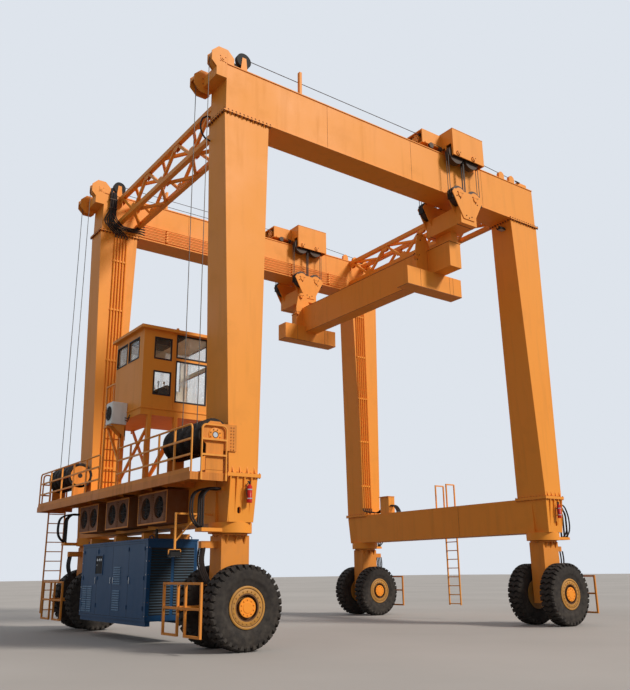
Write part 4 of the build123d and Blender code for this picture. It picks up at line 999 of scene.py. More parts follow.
@dataclass(frozen=True)
class Panel:
    """An upright flat face of the crane, with its own across and up directions."""

    origin: Vector
    facing: Facing

    @property
    def across(self) -> Vector:
        """Gives the direction to the right, seen from outside."""
        return X * math.cos(self.facing.value) + Y * math.sin(self.facing.value)

    @property
    def outward(self) -> Vector:
        """Gives the direction that the face looks in."""
        return self.across.cross(Z)

    @property
    def turns(self) -> Vector:
        """Gives the turns about x, y and z that bring a shape from the near side to this face."""
        return Z * self.facing.value

    def at(self, across: float, up: float, out: float = 0.0) -> Vector:
        """Gives a point from its places across, up and out of the face."""
        return self.origin + self.across * across + Z * up + self.outward * out

    def slab(self, shape: Shape, rect: Rect, low: float, high: float) -> None:
        """Adds a block that covers a rectangle of the face.

        Args:
            shape: The shape that it is added to.
            rect: The rectangle.
            low: Where the block starts, out of the face.
            high: Where it ends.
        """
        left, right, bottom, top = rect
        corners = ((left, bottom), (right, bottom), (right, top), (left, top))
        shape.plate([self.at(*corner, low) for corner in corners], self.outward * (high - low))

    def frame(self, shape: Shape, rect: Rect, width: float, low: float, high: float) -> None:
        """Adds four strips round the inside of a rectangle.

        Args:
            shape: The shape that they are added to.
            rect: The rectangle.
            width: The strips' width.
            low: Where they start, out of the face.
            high: Where they end.
        """
        left, right, bottom, top = rect
        for strip in ((left, right, bottom, bottom + width), (left, right, top - width, top),
                      (left, left + width, bottom + width, top - width),
                      (right - width, right, bottom + width, top - width)):
            self.slab(shape, strip, low, high)

    def lining(self, shape: Shape, rect: Rect, holes: list[Rect], low: float, high: float) -> None:
        """Adds a sheet with rectangular holes, as strips between them.

        Args:
            shape: The shape that it is added to.
            rect: The sheet's rectangle.
            holes: The holes' rectangles; holes above each other share their sides.
            low: Where the sheet starts, out of the face.
            high: Where it ends.
        """
        edge, right, bottom, top = rect
        for start, end in sorted({(hole[0], hole[1]) for hole in holes}):
            if start > edge:
                self.slab(shape, (edge, start, bottom, top), low, high)
            level = bottom
            for hole in sorted((hole for hole in holes if hole[0] == start), key=lambda hole: hole[2]):
                self.slab(shape, (start, end, level, hole[2]), low, high)
                level = hole[3]
            self.slab(shape, (start, end, level, top), low, high)
            edge = end
        self.slab(shape, (edge, right, bottom, top), low, high)


@dataclass
class PortalDressing(Dressing):
    """Bolts, seams, gusset plates and fittings of the legs, girders, trusses and lower beams."""

    foot_top: float = 3.79
    foot_under: float = 3.71
    head_top: float = 13.15
    head_under: float = 13.11
    foot_half: tuple[float, float] = (0.4375, 0.602)
    head_half: tuple[float, float] = (0.7275, 0.482)
    bolt_pitch: float = 0.115
    bolt_inset: float = 0.024
    bays: int = 8
    bay: float = 1.0834
    extinguisher_low: float = 3.13
    lamp_arm_x: float = -6.90

    def round_flange(self, x: float, y: float, half: tuple[float, float]) -> list[tuple[float, float]]:
        """Gives bolt places evenly round a flange.

        Args:
            x: The flange's middle along x.
            y: Its middle along y.
            half: Half its sizes.

        Returns:
            The places on the grid.
        """
        reach_x, reach_y = (size - self.bolt_inset for size in half)
        count_x, count_y = (round(2 * reach / self.bolt_pitch) for reach in (reach_x, reach_y))
        places = []
        for side in SIDES:
            places += [(x + (2 * number / count_x - 1) * reach_x, y + side * reach_y)
                       for number in range(count_x + 1)]
            places += [(x + side * reach_x, y + (2 * number / count_y - 1) * reach_y)
                       for number in range(1, count_y)]
        return places

    def flange_bolts(self) -> None:
        """Bolts the legs to the bases and to the girders, where there is room for a head."""
        feet, heads = [], []
        for side_x, side_y in CORNERS.values():
            x, y = side_x * LEG_X, side_y * GIRDER_Y
            for bolt_x, bolt_y in self.round_flange(x - side_x * 0.0095, y, self.foot_half):
                feet.append((at(bolt_x, bolt_y, self.foot_top), Z))
                if abs(bolt_x - x) > 0.41 or (bolt_y - y) * side_y > 0:
                    feet.append((at(bolt_x, bolt_y, self.foot_under), -Z))
            for bolt_x, bolt_y in self.round_flange(x - side_x * 0.0225, y, self.head_half):
                heads.append((at(bolt_x, bolt_y, self.head_under), -Z))
                if abs(bolt_y - y) > 0.45 or abs(bolt_x) > 6.23:
                    heads.append((at(bolt_x, bolt_y, self.head_top), Z))
        self.tools.bolts.set("flange_bolts", feet, Palette.BOLT, 0.017, 0.018)
        self.tools.bolts.set("head_flange_bolts", heads, Palette.RUST, 0.02, 0.034)

    def seams(self) -> None:
        """Lays the weld seams of the girders and the lower beams."""
        shape = Shape()
        for end, side in itertools.product(SIDES, SIDES):
            y, x = end * GIRDER_Y + side * 0.418, end * LEG_X + side * 0.39
            for seam_x in (-2.9, 0.35, 3.55):
                shape.rod(at(seam_x, y, 13.18), at(seam_x, y, 14.545), 0.005, 6)
            shape.rod(at(x, -1.2, 2.715), at(x, -1.2, 3.745), 0.005, 6)
        shape.piece("weld_seams", Palette.SEAM_AND_SHADE_LINE)

    def truss_plates(self) -> None:
        """Sets gusset plates where the truss braces meet the chords."""
        shape = Shape()
        for side, reach, number, face in itertools.product(SIDES, (5.575, 4.895), range(self.bays), SIDES):
            level, rise = (14.399, -0.17) if number % 2 else (13.639, 0.17)
            y = -3.792 + number * self.bay
            near, far = max(y - 0.21, -3.92), min(y + 0.21, 3.92)
            outline = ((near, level), (far, level), (min(y + 0.1, far), level + rise),
                       (max(y - 0.1, near), level + rise))
            shape.plate([at(side * reach + face * 0.046, *spot) for spot in outline], X * face * 0.01)
        shape.piece("truss_gussets", Palette.ORANGE)

    def extinguishers(self) -> None:
        """Hangs a fire extinguisher on both near bases."""
        red, black, steel = Shape(), Shape(), Shape()
        for x in (-5.465, 5.67):
            foot = at(x, -4.995, self.extinguisher_low)
            red.rod(foot, foot + Z * 0.36, 0.062, 20)
            red.rod(foot + Z * 0.36, foot + Z * 0.41, 0.062, 20, 0.025)
            black.rod(foot + Z * 0.41, foot + Z * 0.46, 0.02, 10)
            black.block(foot + Vector((-0.05, -0.012, 0.46)), foot + Vector((0.03, 0.012, 0.485)))
            hose = ((-0.03, 0, 0.45), (-0.085, -0.02, 0.4), (-0.085, -0.02, 0.2), (-0.07, -0.02, 0.12))
            black.tube([foot + Vector(spot) for spot in hose], 0.01, 6)
            for level in (0.08, 0.28):
                steel.lathe(foot + Z * level, Z, [(0, 0.062), (0, 0.067), (0.025, 0.067), (0.025, 0.062)], 20)
                steel.block(foot + Vector((-0.012, 0.06, level)), foot + Vector((0.012, 0.13, level + 0.025)))
        red.piece("extinguisher_bottles", Palette.RED, bevel=0.003)
        black.piece("extinguisher_valves", Palette.HOSE)
        steel.piece("extinguisher_clamps", Palette.CHROME)

    def floodlights(self) -> None:
        """Hangs the work lamps: one on its bracket by the near left base, one under the near girder."""
        bracket, lamp, glass = Shape(), Shape(), Shape()
        arm_x, y, top = self.lamp_arm_x, -4.20, 2.90
        bracket.block(at(arm_x, y - 0.02, top - 0.02), at(-5.88, y + 0.02, top + 0.02))
        bracket.block(at(arm_x, y - 0.02, 2.12), at(arm_x + 0.04, y + 0.02, top - 0.02))
        bracket.tube([at(arm_x + 0.03, y, 2.30), at(-6.33, y, top - 0.01)], 0.018, 6)
        for middle, turn in ((at(arm_x + 0.02, y, 2.02), 0.0), (at(4.78, -4.42, 12.84), 0.35)):
            lean = -Y * math.sin(turn) - Z * math.cos(turn)
            base = middle + Z * 0.05
            lamp.plate([base + X * x * 0.13 + Y * side * 0.09 for x, side in CORNERS_ROUND], lean * 0.1)
            for step in range(5):
                spot = base + X * (0.05 * step - 0.1)
                lamp.block(spot - Vector((0.004, 0.07, 0)), spot + Vector((0.004, 0.07, 0.03)))
            foot = base + lean * 0.051
            glass.plate([foot + X * x * 0.11 + Y * side * 0.07 for x, side in CORNERS_ROUND], lean * 0.054)
            for left, right, low in ((-0.15, -0.135, 0.0), (0.135, 0.15, 0.0), (-0.15, 0.15, 0.095)):
                bracket.block(middle + Vector((left, -0.015, low)), middle + Vector((right, 0.015, 0.11)))
        bracket.block(at(4.70, -4.44, 12.93), at(4.955, -4.40, 12.96))
        bracket.piece("lamp_brackets", Palette.RAIL, bevel=0.002)
        lamp.piece("lamp_housings", Palette.DARK, bevel=0.004)
        glass.piece("lamp_glasses", Palette.LAMP)

    def conduit(self) -> None:
        """Bends the stiff cable conduit from the left truss up to the near girder's head."""
        line = ((-6.24, 13.34), (-6.34, 13.33), (-6.47, 13.22), (-6.52, 13.02), (-6.49, 12.82),
                (-6.38, 12.67), (-6.20, 12.62))
        Shape().tube(bend([at(x, -3.99, z) for x, z in line]), 0.024).piece("head_conduit", Palette.HOSE)

    def hand_holes(self) -> None:
        """Paints the shade inside the hand holes of the bases, as a dark plate at the back of each hole."""
        shape = Shape()
        for side, way in CORNERS.values():
            x, y = side * (LEG_X + 0.065), way * (GIRDER_Y + 0.43)
            shape.block(at(x - 0.043, y, 2.90), at(x + 0.043, y + way * 0.002, 3.04))
        shape.piece("hand_hole_bottoms", Palette.DARK)

    def rope_anchors(self) -> None:
        """Sets the dark rope clamps on the girders' right ends."""
        shape = Shape()
        for y in (-GIRDER_Y, GIRDER_Y):
            for offset in (-0.17, 0.14):
                outline = ((5.28, 14.60), (5.74, 14.60), (5.74, 14.80), (5.66, 14.80))
                shape.plate([at(x, y + offset, z) for x, z in outline], Y * 0.03)
            for offset in ROPE_OFFSETS:
                shape.rod(at(5.60, y + offset, 14.85), at(5.80, y + offset, 14.84), 0.028)
        shape.piece("rope_anchors", Palette.IRON, bevel=0.003)

    def build(self) -> None:
        """Dresses the whole portal."""
        self.conduit()
        self.hand_holes()
        self.rope_anchors()
        self.flange_bolts()
        self.seams()
        self.truss_plates()
        self.extinguishers()
        self.floodlights()


@dataclass
class ColumnDressing(Dressing):
    """Bolts and formed lines of the steering columns."""

    plate_radius: float = 0.365
    plate_under: float = 2.43
    bolts: int = 20

    def build(self) -> None:
        """Dresses all four columns."""
        for corner, (side, way) in CORNERS.items():
            axis, body = at(side * LEG_X, way * GIRDER_Y, 0), "steer_" + corner
            places = [(axis + Z * self.plate_under + out * self.plate_radius, -Z)
                      for out in turned(X, Y, self.bolts, 0.5)]
            self.tools.bolts.set("column_bolts_" + corner, places, Palette.BOLT, 0.02, 0.022, body)
            lines = Shape()
            for offset in (-0.14, -0.05, 0.04, 0.13):
                reach = 0.70 + 0.04 * abs(offset)
                line = ((reach, 2.16), (reach + 0.03, 1.9), (reach - 0.02, 1.68), (reach - 0.14, 1.46),
                        (0.45, 1.32), (0.358, 1.30))
                lines.tube(bend([axis + Vector((side * out, offset, z)) for out, z in line]), 0.022)
            lines.piece("column_lines_" + corner, Palette.HOSE, body)
            clamp = Shape().block(axis + Vector((side * 0.36, -0.19, 1.36)),
                                  axis + Vector((side * 0.52, 0.18, 1.375)))
            clamp.piece("column_clamp_" + corner, Palette.ORANGE_DARK, body, 0.002)


@dataclass
class HoseDressing(Dressing):
    """Formed hoses along the far girder's head, where clips hold them, at the cabinet and at the bases."""

    radius: float = 0.021
    pipes: tuple[float, ...] = (-0.21, -0.105, 0.0, 0.105, 0.21)
    hoses: Shape = field(default_factory=Shape)
    clips: Shape = field(default_factory=Shape)

    def lead(self, line: list[tuple[float, float, float]], radius: float | None = None) -> None:
        """Adds one hose through points of the grid, of the usual radius where no other is given."""
        self.hoses.tube(bend([at(*spot) for spot in line]), radius or self.radius)

    def head(self) -> None:
        """Leads hoses from the far girder's top to the pipes on its web and on the leg."""
        for number, place in enumerate(self.pipes):
            drop_x, sway = -5.79 - 0.05 * number, 0.012 * math.sin(2.3 * number + 1.0)
            bow_x, pipe_x = -5.83 - 0.08 * number, -5.51 - place
            self.lead([
                (drop_x, 4.12, 14.61), (drop_x, 3.99, 14.625), (drop_x + sway, 3.893, 14.54),
                (drop_x - sway, 3.89, 14.20), (drop_x + sway, 3.89, 13.95),
                (bow_x, 3.88, 13.62 - 0.02 * number), (bow_x + 0.05, 3.86, 13.38),
                (pipe_x - 0.17, 3.842, 13.17), (pipe_x - 0.02, 3.848, 13.05), (pipe_x, 3.876, 12.99),
                (pipe_x, 3.89, 12.95)])
            level, depth = 13.40 - 0.035 * number, 3.795 - 0.03 * (number % 2)
            self.lead([
                (drop_x, 4.12, 14.66), (drop_x, 3.96, 14.672), (drop_x - sway, 3.846, 14.55),
                (drop_x + sway, 3.84, 14.20), (drop_x, 3.84, 13.86), (drop_x + 0.04, 3.832, level + 0.24),
                (drop_x + 0.22, depth, level + 0.03), (-5.45, depth, level - 0.02), (-5.08, depth, level),
                (-4.88, 3.84, 13.46 - place * 0.7), (-4.66, 3.877, 13.49 - place)])
        for level in (13.98, 14.32):
            self.clips.block(at(-6.035, 3.806, level), at(-5.752, 3.812, level + 0.03))
            for x in (-6.035, -5.758):
                self.clips.block(at(x, 3.812, level), at(x + 0.006, 3.942, level + 0.03))

    def cabinet(self) -> None:
        """Leads hoses from the right far leg's pipes into the cabinet, and out of it to the beam."""
        for number, place in enumerate(self.pipes):
            x = 5.34 + 0.052 * number
            self.lead([
                (5.29 + place, 3.775, 4.02), (5.29 + place, 3.765, 3.95), (5.30 + place * 0.8, 3.70, 3.88),
                (x, 3.45, 3.83), (x, 3.2, 3.84), (x, 3.07, 3.90), (x, 2.995, 3.93)])
        for x in (5.36 + 0.06 * number for number in range(4)):
            line = ((2.505, 4.02), (2.42, 4.05), (2.27, 4.0), (2.14, 3.86), (2.10, 3.74))
            self.lead([(x, *spot) for spot in line])

    def bases(self) -> None:
        """Adds the outer hoses that reach from the bases round to the collars' shelves."""
        for (side, way), place in itertools.product(CORNERS.values(), (0.115, 0.225)):
            crown = 3.46 if side < 0 else 3.60
            line = ((0.415, 3.44), (0.62, crown), (0.90, crown - 0.06), (1.05, 3.28), (1.09, 3.02),
                    (1.06, 2.80), (0.96, 2.66), (0.86, 2.60), (0.80, 2.575))
            y = way * (GIRDER_Y + place)
            self.lead([(side * (LEG_X + reach), y, z) for reach, z in line], 0.023)

    def build(self) -> None:
        """Dresses all the hoses."""
        self.head()
        self.cabinet()
        self.bases()
        self.hoses.piece("formed_hoses", Palette.HOSE)
        self.clips.piece("hose_clips", Palette.IRON)


@dataclass
class WinchDressing(Dressing):
    """Rope on the drums, and the bearings and bolts of the winch frames."""

    x: float = -6.35
    z: float = 4.60
    rope_radius: float = 0.011
    winding_radius: float = 0.384
    winding_width: float = 1.82

    def build(self) -> None:
        """Dresses both winches."""
        for name, body, axis, y, first in (("near", Body.DRUM_NEAR, -Y, -4.937, 0.075),
                                           ("far", Body.DRUM_FAR, Y, 5.793, -1.97)):
            face, start = at(self.x, y, self.z), at(self.x, y + first, self.z)
            # The wound rope and the drum core take the greased rope finish, which holds painted shade
            self.tools.windings.wind("drum_rope_" + name, start, self.winding_radius, self.winding_width,
                                     self.rope_radius, body)
            core = Shape().lathe(start, Y, [(-0.01, 0.30), (-0.01, 0.376), (1.83, 0.376), (1.83, 0.30)], 40)
            core.piece("drum_core_" + name, Palette.DRUM_ROPE_SHADED, body)
            bearing = Shape().lathe(face, axis, [(-0.002, 0.074), (0.02, 0.078), (0.02, 0.15), (0.012, 0.165),
                                                 (-0.002, 0.165)], 32)
            bearing.piece("winch_bearing_" + name, Palette.ORANGE, bevel=0.002)
            places = [(face + out * 0.125 + axis * 0.02, axis) for out in turned(X, Z, 8, 0.5)]
            if body is Body.DRUM_NEAR:
                places += [(at(column, y, 4.30 + row * 0.072), axis)
                           for column in (-5.935, -5.865) for row in range(8)]
            self.tools.bolts.set("winch_bolts_" + name, places, Palette.BOLT, 0.014, 0.014)
            cap = Shape().rod(face + axis * 0.0102, face + axis * 0.018, 0.06, 20)
            cap.piece("shaft_cap_" + name, Palette.CHROME, body, 0.002, "drum_steel")


@dataclass
class RopeHeadDressing(Dressing):
    """Pins and bolts of the sheave casings at the girders' left ends."""

    casings: tuple[tuple[float, float, float], ...] = ((-6.331, -0.30, 14.65), (-6.456, 0.43, 14.305))

    def build(self) -> None:
        """Dresses both rope heads."""
        pins, places = Shape(), []
        for y, (x, offset, z), axis in itertools.product((-GIRDER_Y, GIRDER_Y), self.casings, (-Y, Y)):
            face = at(x, y + offset, z) + axis * 0.13
            pins.rod(face, face + axis * 0.014, 0.075, 20)
            pins.rod(face, face + axis * 0.03, 0.035, 16)
            places += [(face + out * 0.11, axis) for out in turned(X, Z, 4, 0.5)]
        pins.piece("head_pins", Palette.ORANGE, bevel=0.002)
        self.tools.bolts.set("head_bolts", places, Palette.BOLT, 0.013, 0.012)


@dataclass
class RopeDressing(Dressing):
    """Straight ropes that run between two parts of the crane."""

    steps: int = 24

    def straight(self, start: Vector, end: Vector) -> list[Vector]:
        """Gives the points of a straight rope, close enough to be stretched evenly."""
        return [start + (end - start) * step / self.steps for step in range(self.steps + 1)]

    def stretch(self, shape: Shape, name: str, first: str, second: str, start: Vector, end: Vector,
                instead_of: tuple[str, ...] = ()) -> None:
        """Turns a shape into a rope object, with its transform applied to the mesh.

        Args:
            shape: The rope's shape.
            name: The piece's name.
            first: The body that it starts on; not used.
            second: The body that it ends on; not used.
            start: The end on the first body.
            end: The end on the second body.
            instead_of: The CAD nodes that it stands for.
        """
        rope = shape.object(name, Palette.ROPE)
        if instead_of:
            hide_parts(*instead_of)
        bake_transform(rope)
        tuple(start)
        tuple(end)
        LOG.info("%s: %d faces", rope.name, len(rope.data.polygons))


@dataclass
class GirderRopes(RopeDressing):
    """The trolley ropes along the girders' tops, whose left runs are level."""

    radius: float = 0.0105
    start_x: float = -5.42
    anchor_x: float = 5.765
    sheave_z: float = 15.07

    def build(self) -> None:
        """Lays four ropes, each in a run before and a run after its trolley."""
        for (name, y), (number, offset) in itertools.product(
                (("near", -GIRDER_Y), ("far", GIRDER_Y)), enumerate(ROPE_OFFSETS)):
            trolley, y = "trolley_" + name, y + offset
            left = at(self.start_x, y, self.sheave_z), at(TROLLEY_X - 1.43, y, self.sheave_z)
            right = at(TROLLEY_X + 0.98, y, 14.98), at(self.anchor_x, y, 14.84)
            for side, ends, first, second in (("left", left, "frame", trolley),
                                              ("right", right, trolley, "frame")):
                shape = Shape().tube(self.straight(*ends), self.radius)
                self.stretch(shape, f"girder_rope_{name}_{side}_{number}", first, second, *ends)


@dataclass
class RopeFalls(RopeDressing):
    """The ropes from the trolleys' sheaves to the hook blocks."""

    reach: float = 0.3293
    offset: float = 0.66
    groove: float = 0.045
    radius: float = 0.011

    def build(self) -> None:
        """Hangs all the falls in one piece, from the trolleys' pins down to the hook blocks' pins."""
        shape = Shape()
        for end, pin, side, row, groove in itertools.product(SIDES, repeat=5):
            x = TROLLEY_X + pin * PIN_PITCH + side * self.reach
            y = end * GIRDER_Y + row * self.offset + groove * self.groove
            shape.tube(self.straight(at(x, y, TROLLEY_PIN_Z), at(x, y, BLOCK_PIN_Z)), self.radius)
        self.stretch(shape, "hoist_ropes", Body.TROLLEY_NEAR.value, Body.LIFTING_GEAR.value,
                     at(TROLLEY_X, 0.0, TROLLEY_PIN_Z), at(TROLLEY_X, 0.0, BLOCK_PIN_Z), ("rope_falls",))


@dataclass
class TrolleyDressing(Dressing):
    """Bosses, bolts, edge strips and drive parts of the two trolleys."""

    x: float = TROLLEY_X
    half_width: float = 0.85
    mouth: float = TROLLEY_X - 1.43

    def housing(self, plates: Shape, places: Places, y: float) -> None:
        """Adds the pins' ends with their bolts, and the strips round the housing.

        Args:
            plates: The painted plates.
            places: The bolts' places.
            y: The trolley's middle.
        """
        for way in SIDES:
            face, axis = y + way * self.half_width, Y * way
            for side in SIDES:
                boss = at(self.x + side * PIN_PITCH, face + way * 0.03, TROLLEY_PIN_Z)
                plates.rod(boss, boss + axis * 0.02, 0.045, 6)
                places += [(boss + out * 0.072, axis) for out in turned(X, Z, 3, 0.25)]
            for low, high in ((15.315, 15.334), (14.377, 14.395)):
                plates.block(at(self.x - 0.57, face, low), at(self.x + 0.85, face + way * 0.008, high))
        for x in (self.x - 0.578, self.x + 0.85):
            plates.block(at(x, y - self.half_width, 15.315), at(x + 0.008, y + self.half_width, 15.334))
        for level, side in itertools.product((14.93, 15.17), (-0.26, 0.26)):
            places.append((at(self.x + 0.98, y + side, level), X))

    def drive(self, plates: Shape, dark: Shape, places: Places, y: float) -> None:
        """Adds the motor housing's mouth, and gears and chains on both its sides.

        Args:
            plates: The painted plates.
            dark: The dark parts.
            places: The bolts' places.
            y: The trolley's middle.
        """
        dark.block(at(self.mouth + 0.135, y - 0.305, 14.825), at(self.mouth + 0.149, y + 0.305, 15.215))
        for level in (14.86, 15.17):
            dark.tube([at(self.mouth + 0.09, y + side * 0.30, level) for side in SIDES], 0.018)
        for side in SIDES:
            gear, axis = at(self.mouth + 0.32, y + side * 0.36, 14.72), Y * side
            second = gear + X * 0.42
            dark.rod(gear, gear + axis * 0.07, 0.095, 20)
            dark.rod(second, second + axis * 0.07, 0.07, 18)
            dark.tube([gear + axis * 0.05 + Z * 0.095, second + axis * 0.05 + Z * 0.07], 0.012, 6)
            plates.block(at(self.mouth + 0.10, y + side * 0.35, 14.77),
                         at(self.mouth + 0.86, y + side * 0.38, 14.83))
            outline = ((0.20, 14.79), (0.44, 14.79), (0.36, 14.66), (0.28, 14.66))
            plates.plate([at(self.mouth + x, y + side * 0.33, z) for x, z in outline], axis * 0.02)
        places += [(at(self.mouth + 0.02, y, 15.02) + out * 0.12, -X) for out in turned(Y, Z, 6)]

    def build(self) -> None:
        """Dresses both trolleys."""
        for body, y in ((Body.TROLLEY_NEAR, -GIRDER_Y), (Body.TROLLEY_FAR, GIRDER_Y)):
            plates, dark, places = Shape(), Shape(), []
            self.housing(plates, places, y)
            self.drive(plates, dark, places, y)
            plates.piece("plates_" + body.value, Palette.ORANGE, body, 0.002)
            dark.piece("drive_" + body.value, Palette.IRON, body, 0.002)
            self.tools.bolts.set("bolts_" + body.value, places, Palette.RUST, 0.013, 0.014, body)


@dataclass
class LiftingDressing(Dressing):
    """Pins, plates, seams, painted shade lines and bolts of the hook blocks and the lifting beam."""

    x: float = TROLLEY_X
    # Levels of the dark strips along the cross beams' bottom edges, which are painted shade
    foot_low: float = 10.261
    foot_high: float = 10.279
    beam_high: float = 11.68
    plates: Shape = field(default_factory=Shape)
    # Weld seams, together with dark strips that are painted shade lines
    seams: Shape = field(default_factory=Shape)
    dark: Shape = field(default_factory=Shape)
    places: Places = field(default_factory=list)

    def boss(self, face: Vector, axis: Vector, radius: float) -> None:
        """Adds a pin's collar, end and three bolts.

        Args:
            face: The pin's place on the plate.
            axis: The way that the plate faces.
            radius: The collar's radius.
        """
        self.plates.lathe(face, axis, [(-0.002, radius * 0.62), (0.03, radius * 0.66), (0.03, radius),
                                       (-0.002, radius * 1.05)], 24)
        self.plates.rod(face, face + axis * 0.018, radius * 0.5, 6)
        self.places += [(face + out * radius * 1.4, axis) for out in turned(X, Z, 3, 0.25)]

    def blocks(self) -> None:
        """Adds what both hook blocks need."""
        for end, way in itertools.product(SIDES, SIDES):
            y, axis = end * GIRDER_Y, Y * way
            face, middle = y + way * 0.80, y + way * 0.66
            for side in SIDES:
                self.boss(at(self.x + side * PIN_PITCH, face, BLOCK_PIN_Z), axis, 0.09)
                # Dark slabs in the block's end openings: painted shade over the sheaves inside
                self.dark.block(at(self.x + side * 0.635, middle - 0.108, 12.86),
                                at(self.x + side * 0.672, middle + 0.108, 13.16))
            for x, z in ((-0.12, 12.36), (0.12, 12.36), (0.0, 12.30), (0.42, 12.87), (-0.5, 12.95)):
                self.places.append((at(self.x + x, face, z), axis))
            self.seams.block(at(self.x - 0.352, y + way * 0.575, 12.078),
                             at(self.x + 0.352, y + way * 0.61, 12.10))

    def cross_beam(self, way: int) -> None:
        """Adds the joints, painted shade lines, lips, bosses and bolts of one cross beam and its hangers.

        Args:
            way: The beam's side.
        """
        # Thin rods are real weld seams; the dark strips along the beam's bottom edges and across its ends are
        # painted shade under the edges
        for y, out in ((3.20, -0.006), (3.70, 0.006)):
            self.seams.block(at(1.002, way * y, self.foot_low), at(3.398, way * (y + out), self.foot_high))
            for x in (1.56, 2.86, 3.02):
                self.seams.rod(at(x, way * y, 10.28), at(x, way * y, 10.87), 0.006, 6)
        for x in (0.996, 3.40):
            self.seams.block(at(x, way * 3.20, self.foot_low), at(x + 0.004, way * 3.70, self.foot_high))
        for x, y in itertools.product((1.10, 1.24, 1.38, 3.02, 3.16, 3.30), (3.26, 3.64)):
            self.places.append((at(x, way * y, 10.88), Z))
        # Each hanger gets a proud lip and, just below it, a dark strip that is a painted shadow line under
        # the lip
        near, far = sorted((way * 3.45, way * 4.47))
        for low, high, grow, shape in ((11.722, 11.752, 0.02, self.plates),
                                       (11.708, 11.722, 0.006, self.seams)):
            for x in (2.15 - grow, 2.65):
                shape.block(at(x, near + 0.01, low), at(x + grow, far, high))
            shape.block(at(2.15 - grow, way * 4.46, low), at(2.65 + grow, way * (4.46 + grow), high))
        for x, z in ((1.87, 12.16), (1.69, 11.44)):
            self.boss(at(x, way * 3.37, z), Y * -way, 0.07)
            self.boss(at(x, way * 3.45, z), Y * way, 0.085)

    def build(self) -> None:
        """Dresses the whole lifting gear."""
        self.blocks()
        for way in SIDES:
            self.cross_beam(way)
        # Dark strips along the main beam's bottom and top edges are painted shade lines
        for x, out in ((1.95, -0.006), (2.45, 0.006)):
            for level in (10.642, self.beam_high):
                self.seams.block(at(x, -3.18, level), at(x + out, 3.18, level + 0.014))
            for y in (-2.6, -0.9, 0.9, 2.6):
                self.plates.rod(at(x, y, 10.66), at(x, y, self.beam_high), 0.005, 6)
        self.plates.piece("lifting_plates", Palette.ORANGE, Body.LIFTING_GEAR)
        self.seams.piece("lifting_seams", Palette.SEAM_AND_SHADE_LINE, Body.LIFTING_GEAR)
        # The hook blocks' dark slabs are painted shade
        self.dark.piece("sheave_guards", Palette.DARK, Body.LIFTING_GEAR, 0.003)
        self.tools.bolts.set("lifting_bolts", self.places, Palette.RUST, 0.015, 0.016, Body.LIFTING_GEAR)


@dataclass
class RoundGrille:
    """A fan or a plain recess behind wire rings and spokes, looking along -x."""

    middle: Vector
    wire: float
    steps: int

    def at(self, out: Vector, depth: float) -> Vector:
        """Gives a point from its place round the middle and its depth into the face."""
        return self.middle + out + X * depth

    def guard(self, shape: Shape, radii: tuple[float, ...], spokes: int, reach: float, depth: float) -> None:
        """Adds the wires.

        Args:
            shape: The shape that they are added to.
            radii: The rings' radii.
            spokes: The number of wires that cross the middle.
            reach: The wires' half length.
            depth: How deep they lie in the face.
        """
        for radius in radii:
            ring = [self.at(out * radius, depth) for out in turned(Y, Z, self.steps)]
            shape.tube(ring, self.wire, 6, closed=True)
        for out in turned(Y, Z, 2 * spokes)[:spokes]:
            shape.tube([self.at(-out * reach, depth), self.at(out * reach, depth)], self.wire, 6)

    def blades(self, shape: Shape, count: int, shift: float, outline: tuple[tuple[float, float], ...],
               depth: float, thickness: float) -> None:
        """Adds the fan's blades.

        Args:
            shape: The shape that they are added to.
            count: The number of blades.
            shift: The first one's turn, as a share of a step.
            outline: Each corner's place along the blade and across it.
            depth: How deep they lie in the face.
            thickness: Their thickness along x.
        """
        for out in turned(Y, Z, count, shift):
            side = X.cross(out)
            shape.plate([self.at(out * along + side * across, depth) for along, across in outline],
                        X * thickness)


@dataclass
class DeckDressing(Dressing):
    """Brackets and edge of the deck, and the fans and louvres of the units under it."""

    units: tuple[tuple[float, float], ...] = ((-3.0, -1.3), (-0.7, 0.9), (1.5, 3.0))
    face_x: float = -6.54
    unit_low: float = 2.78
    unit_high: float = 3.56
    blade: tuple[tuple[float, float], ...] = ((0.06, -0.03), (0.06, 0.03), (0.25, 0.09), (0.25, -0.03))

    def build(self) -> None:
        """Dresses the deck and its units."""
        guard, dark, trim, slats = Shape(), Shape(), Shape(), []
        for low, high in self.units:
            middle, half = (low + high) / 2, (high - low) / 2
            for pitch in (-0.38, 0.38):
                spot = at(self.face_x, middle + pitch, (self.unit_low + self.unit_high) / 2)
                dark.rod(spot + X * 0.088, spot + X * 0.0895, 0.262, 32)
                dark.rod(spot + X * 0.03, spot + X * 0.088, 0.07, 16)
                fan = RoundGrille(spot, 0.005, 28)
                fan.blades(dark, 6, 0.0, self.blade, 0.05, 0.012)
                fan.guard(guard, (0.08, 0.15, 0.22), 4, 0.268, 0.012)
            panel = Panel(at(self.face_x, middle, self.unit_low), Facing.LEFT)
            panel.frame(trim, (-half, half, 0.002, 0.778), 0.035, 0.0, 0.008)
            for across in (0.0, -half + 0.11, half - 0.11) if half > 0.8 else (0.0,):
                slats += [(panel.at(across, 0.08 + row * 0.056), panel.turns) for row in range(12)]
        guard.piece("unit_fan_guards", Palette.IRON)
        dark.piece("unit_fans", Palette.DARK)
        # The units' louvres take the units' brown, which holds painted shade of the deck
        self.tools.stamps.set("unit_louvres", louvre(0.15), slats, Palette.UNIT)
        for y in (-3.9, -3.0, -2.1, -0.3, 0.9, 2.1, 3.0, 3.9):
            outline = ((-6.90, 3.70), (-6.55, 3.70), (-6.55, 3.585), (-6.89, 3.65))
            trim.plate([at(x, y, z) for x, z in outline], Y * 0.012)
        trim.block(at(-6.945, -4.9, 3.75), at(-6.937, 5.94, 3.85))
        trim.piece("deck_trim", Palette.ORANGE_DARK)


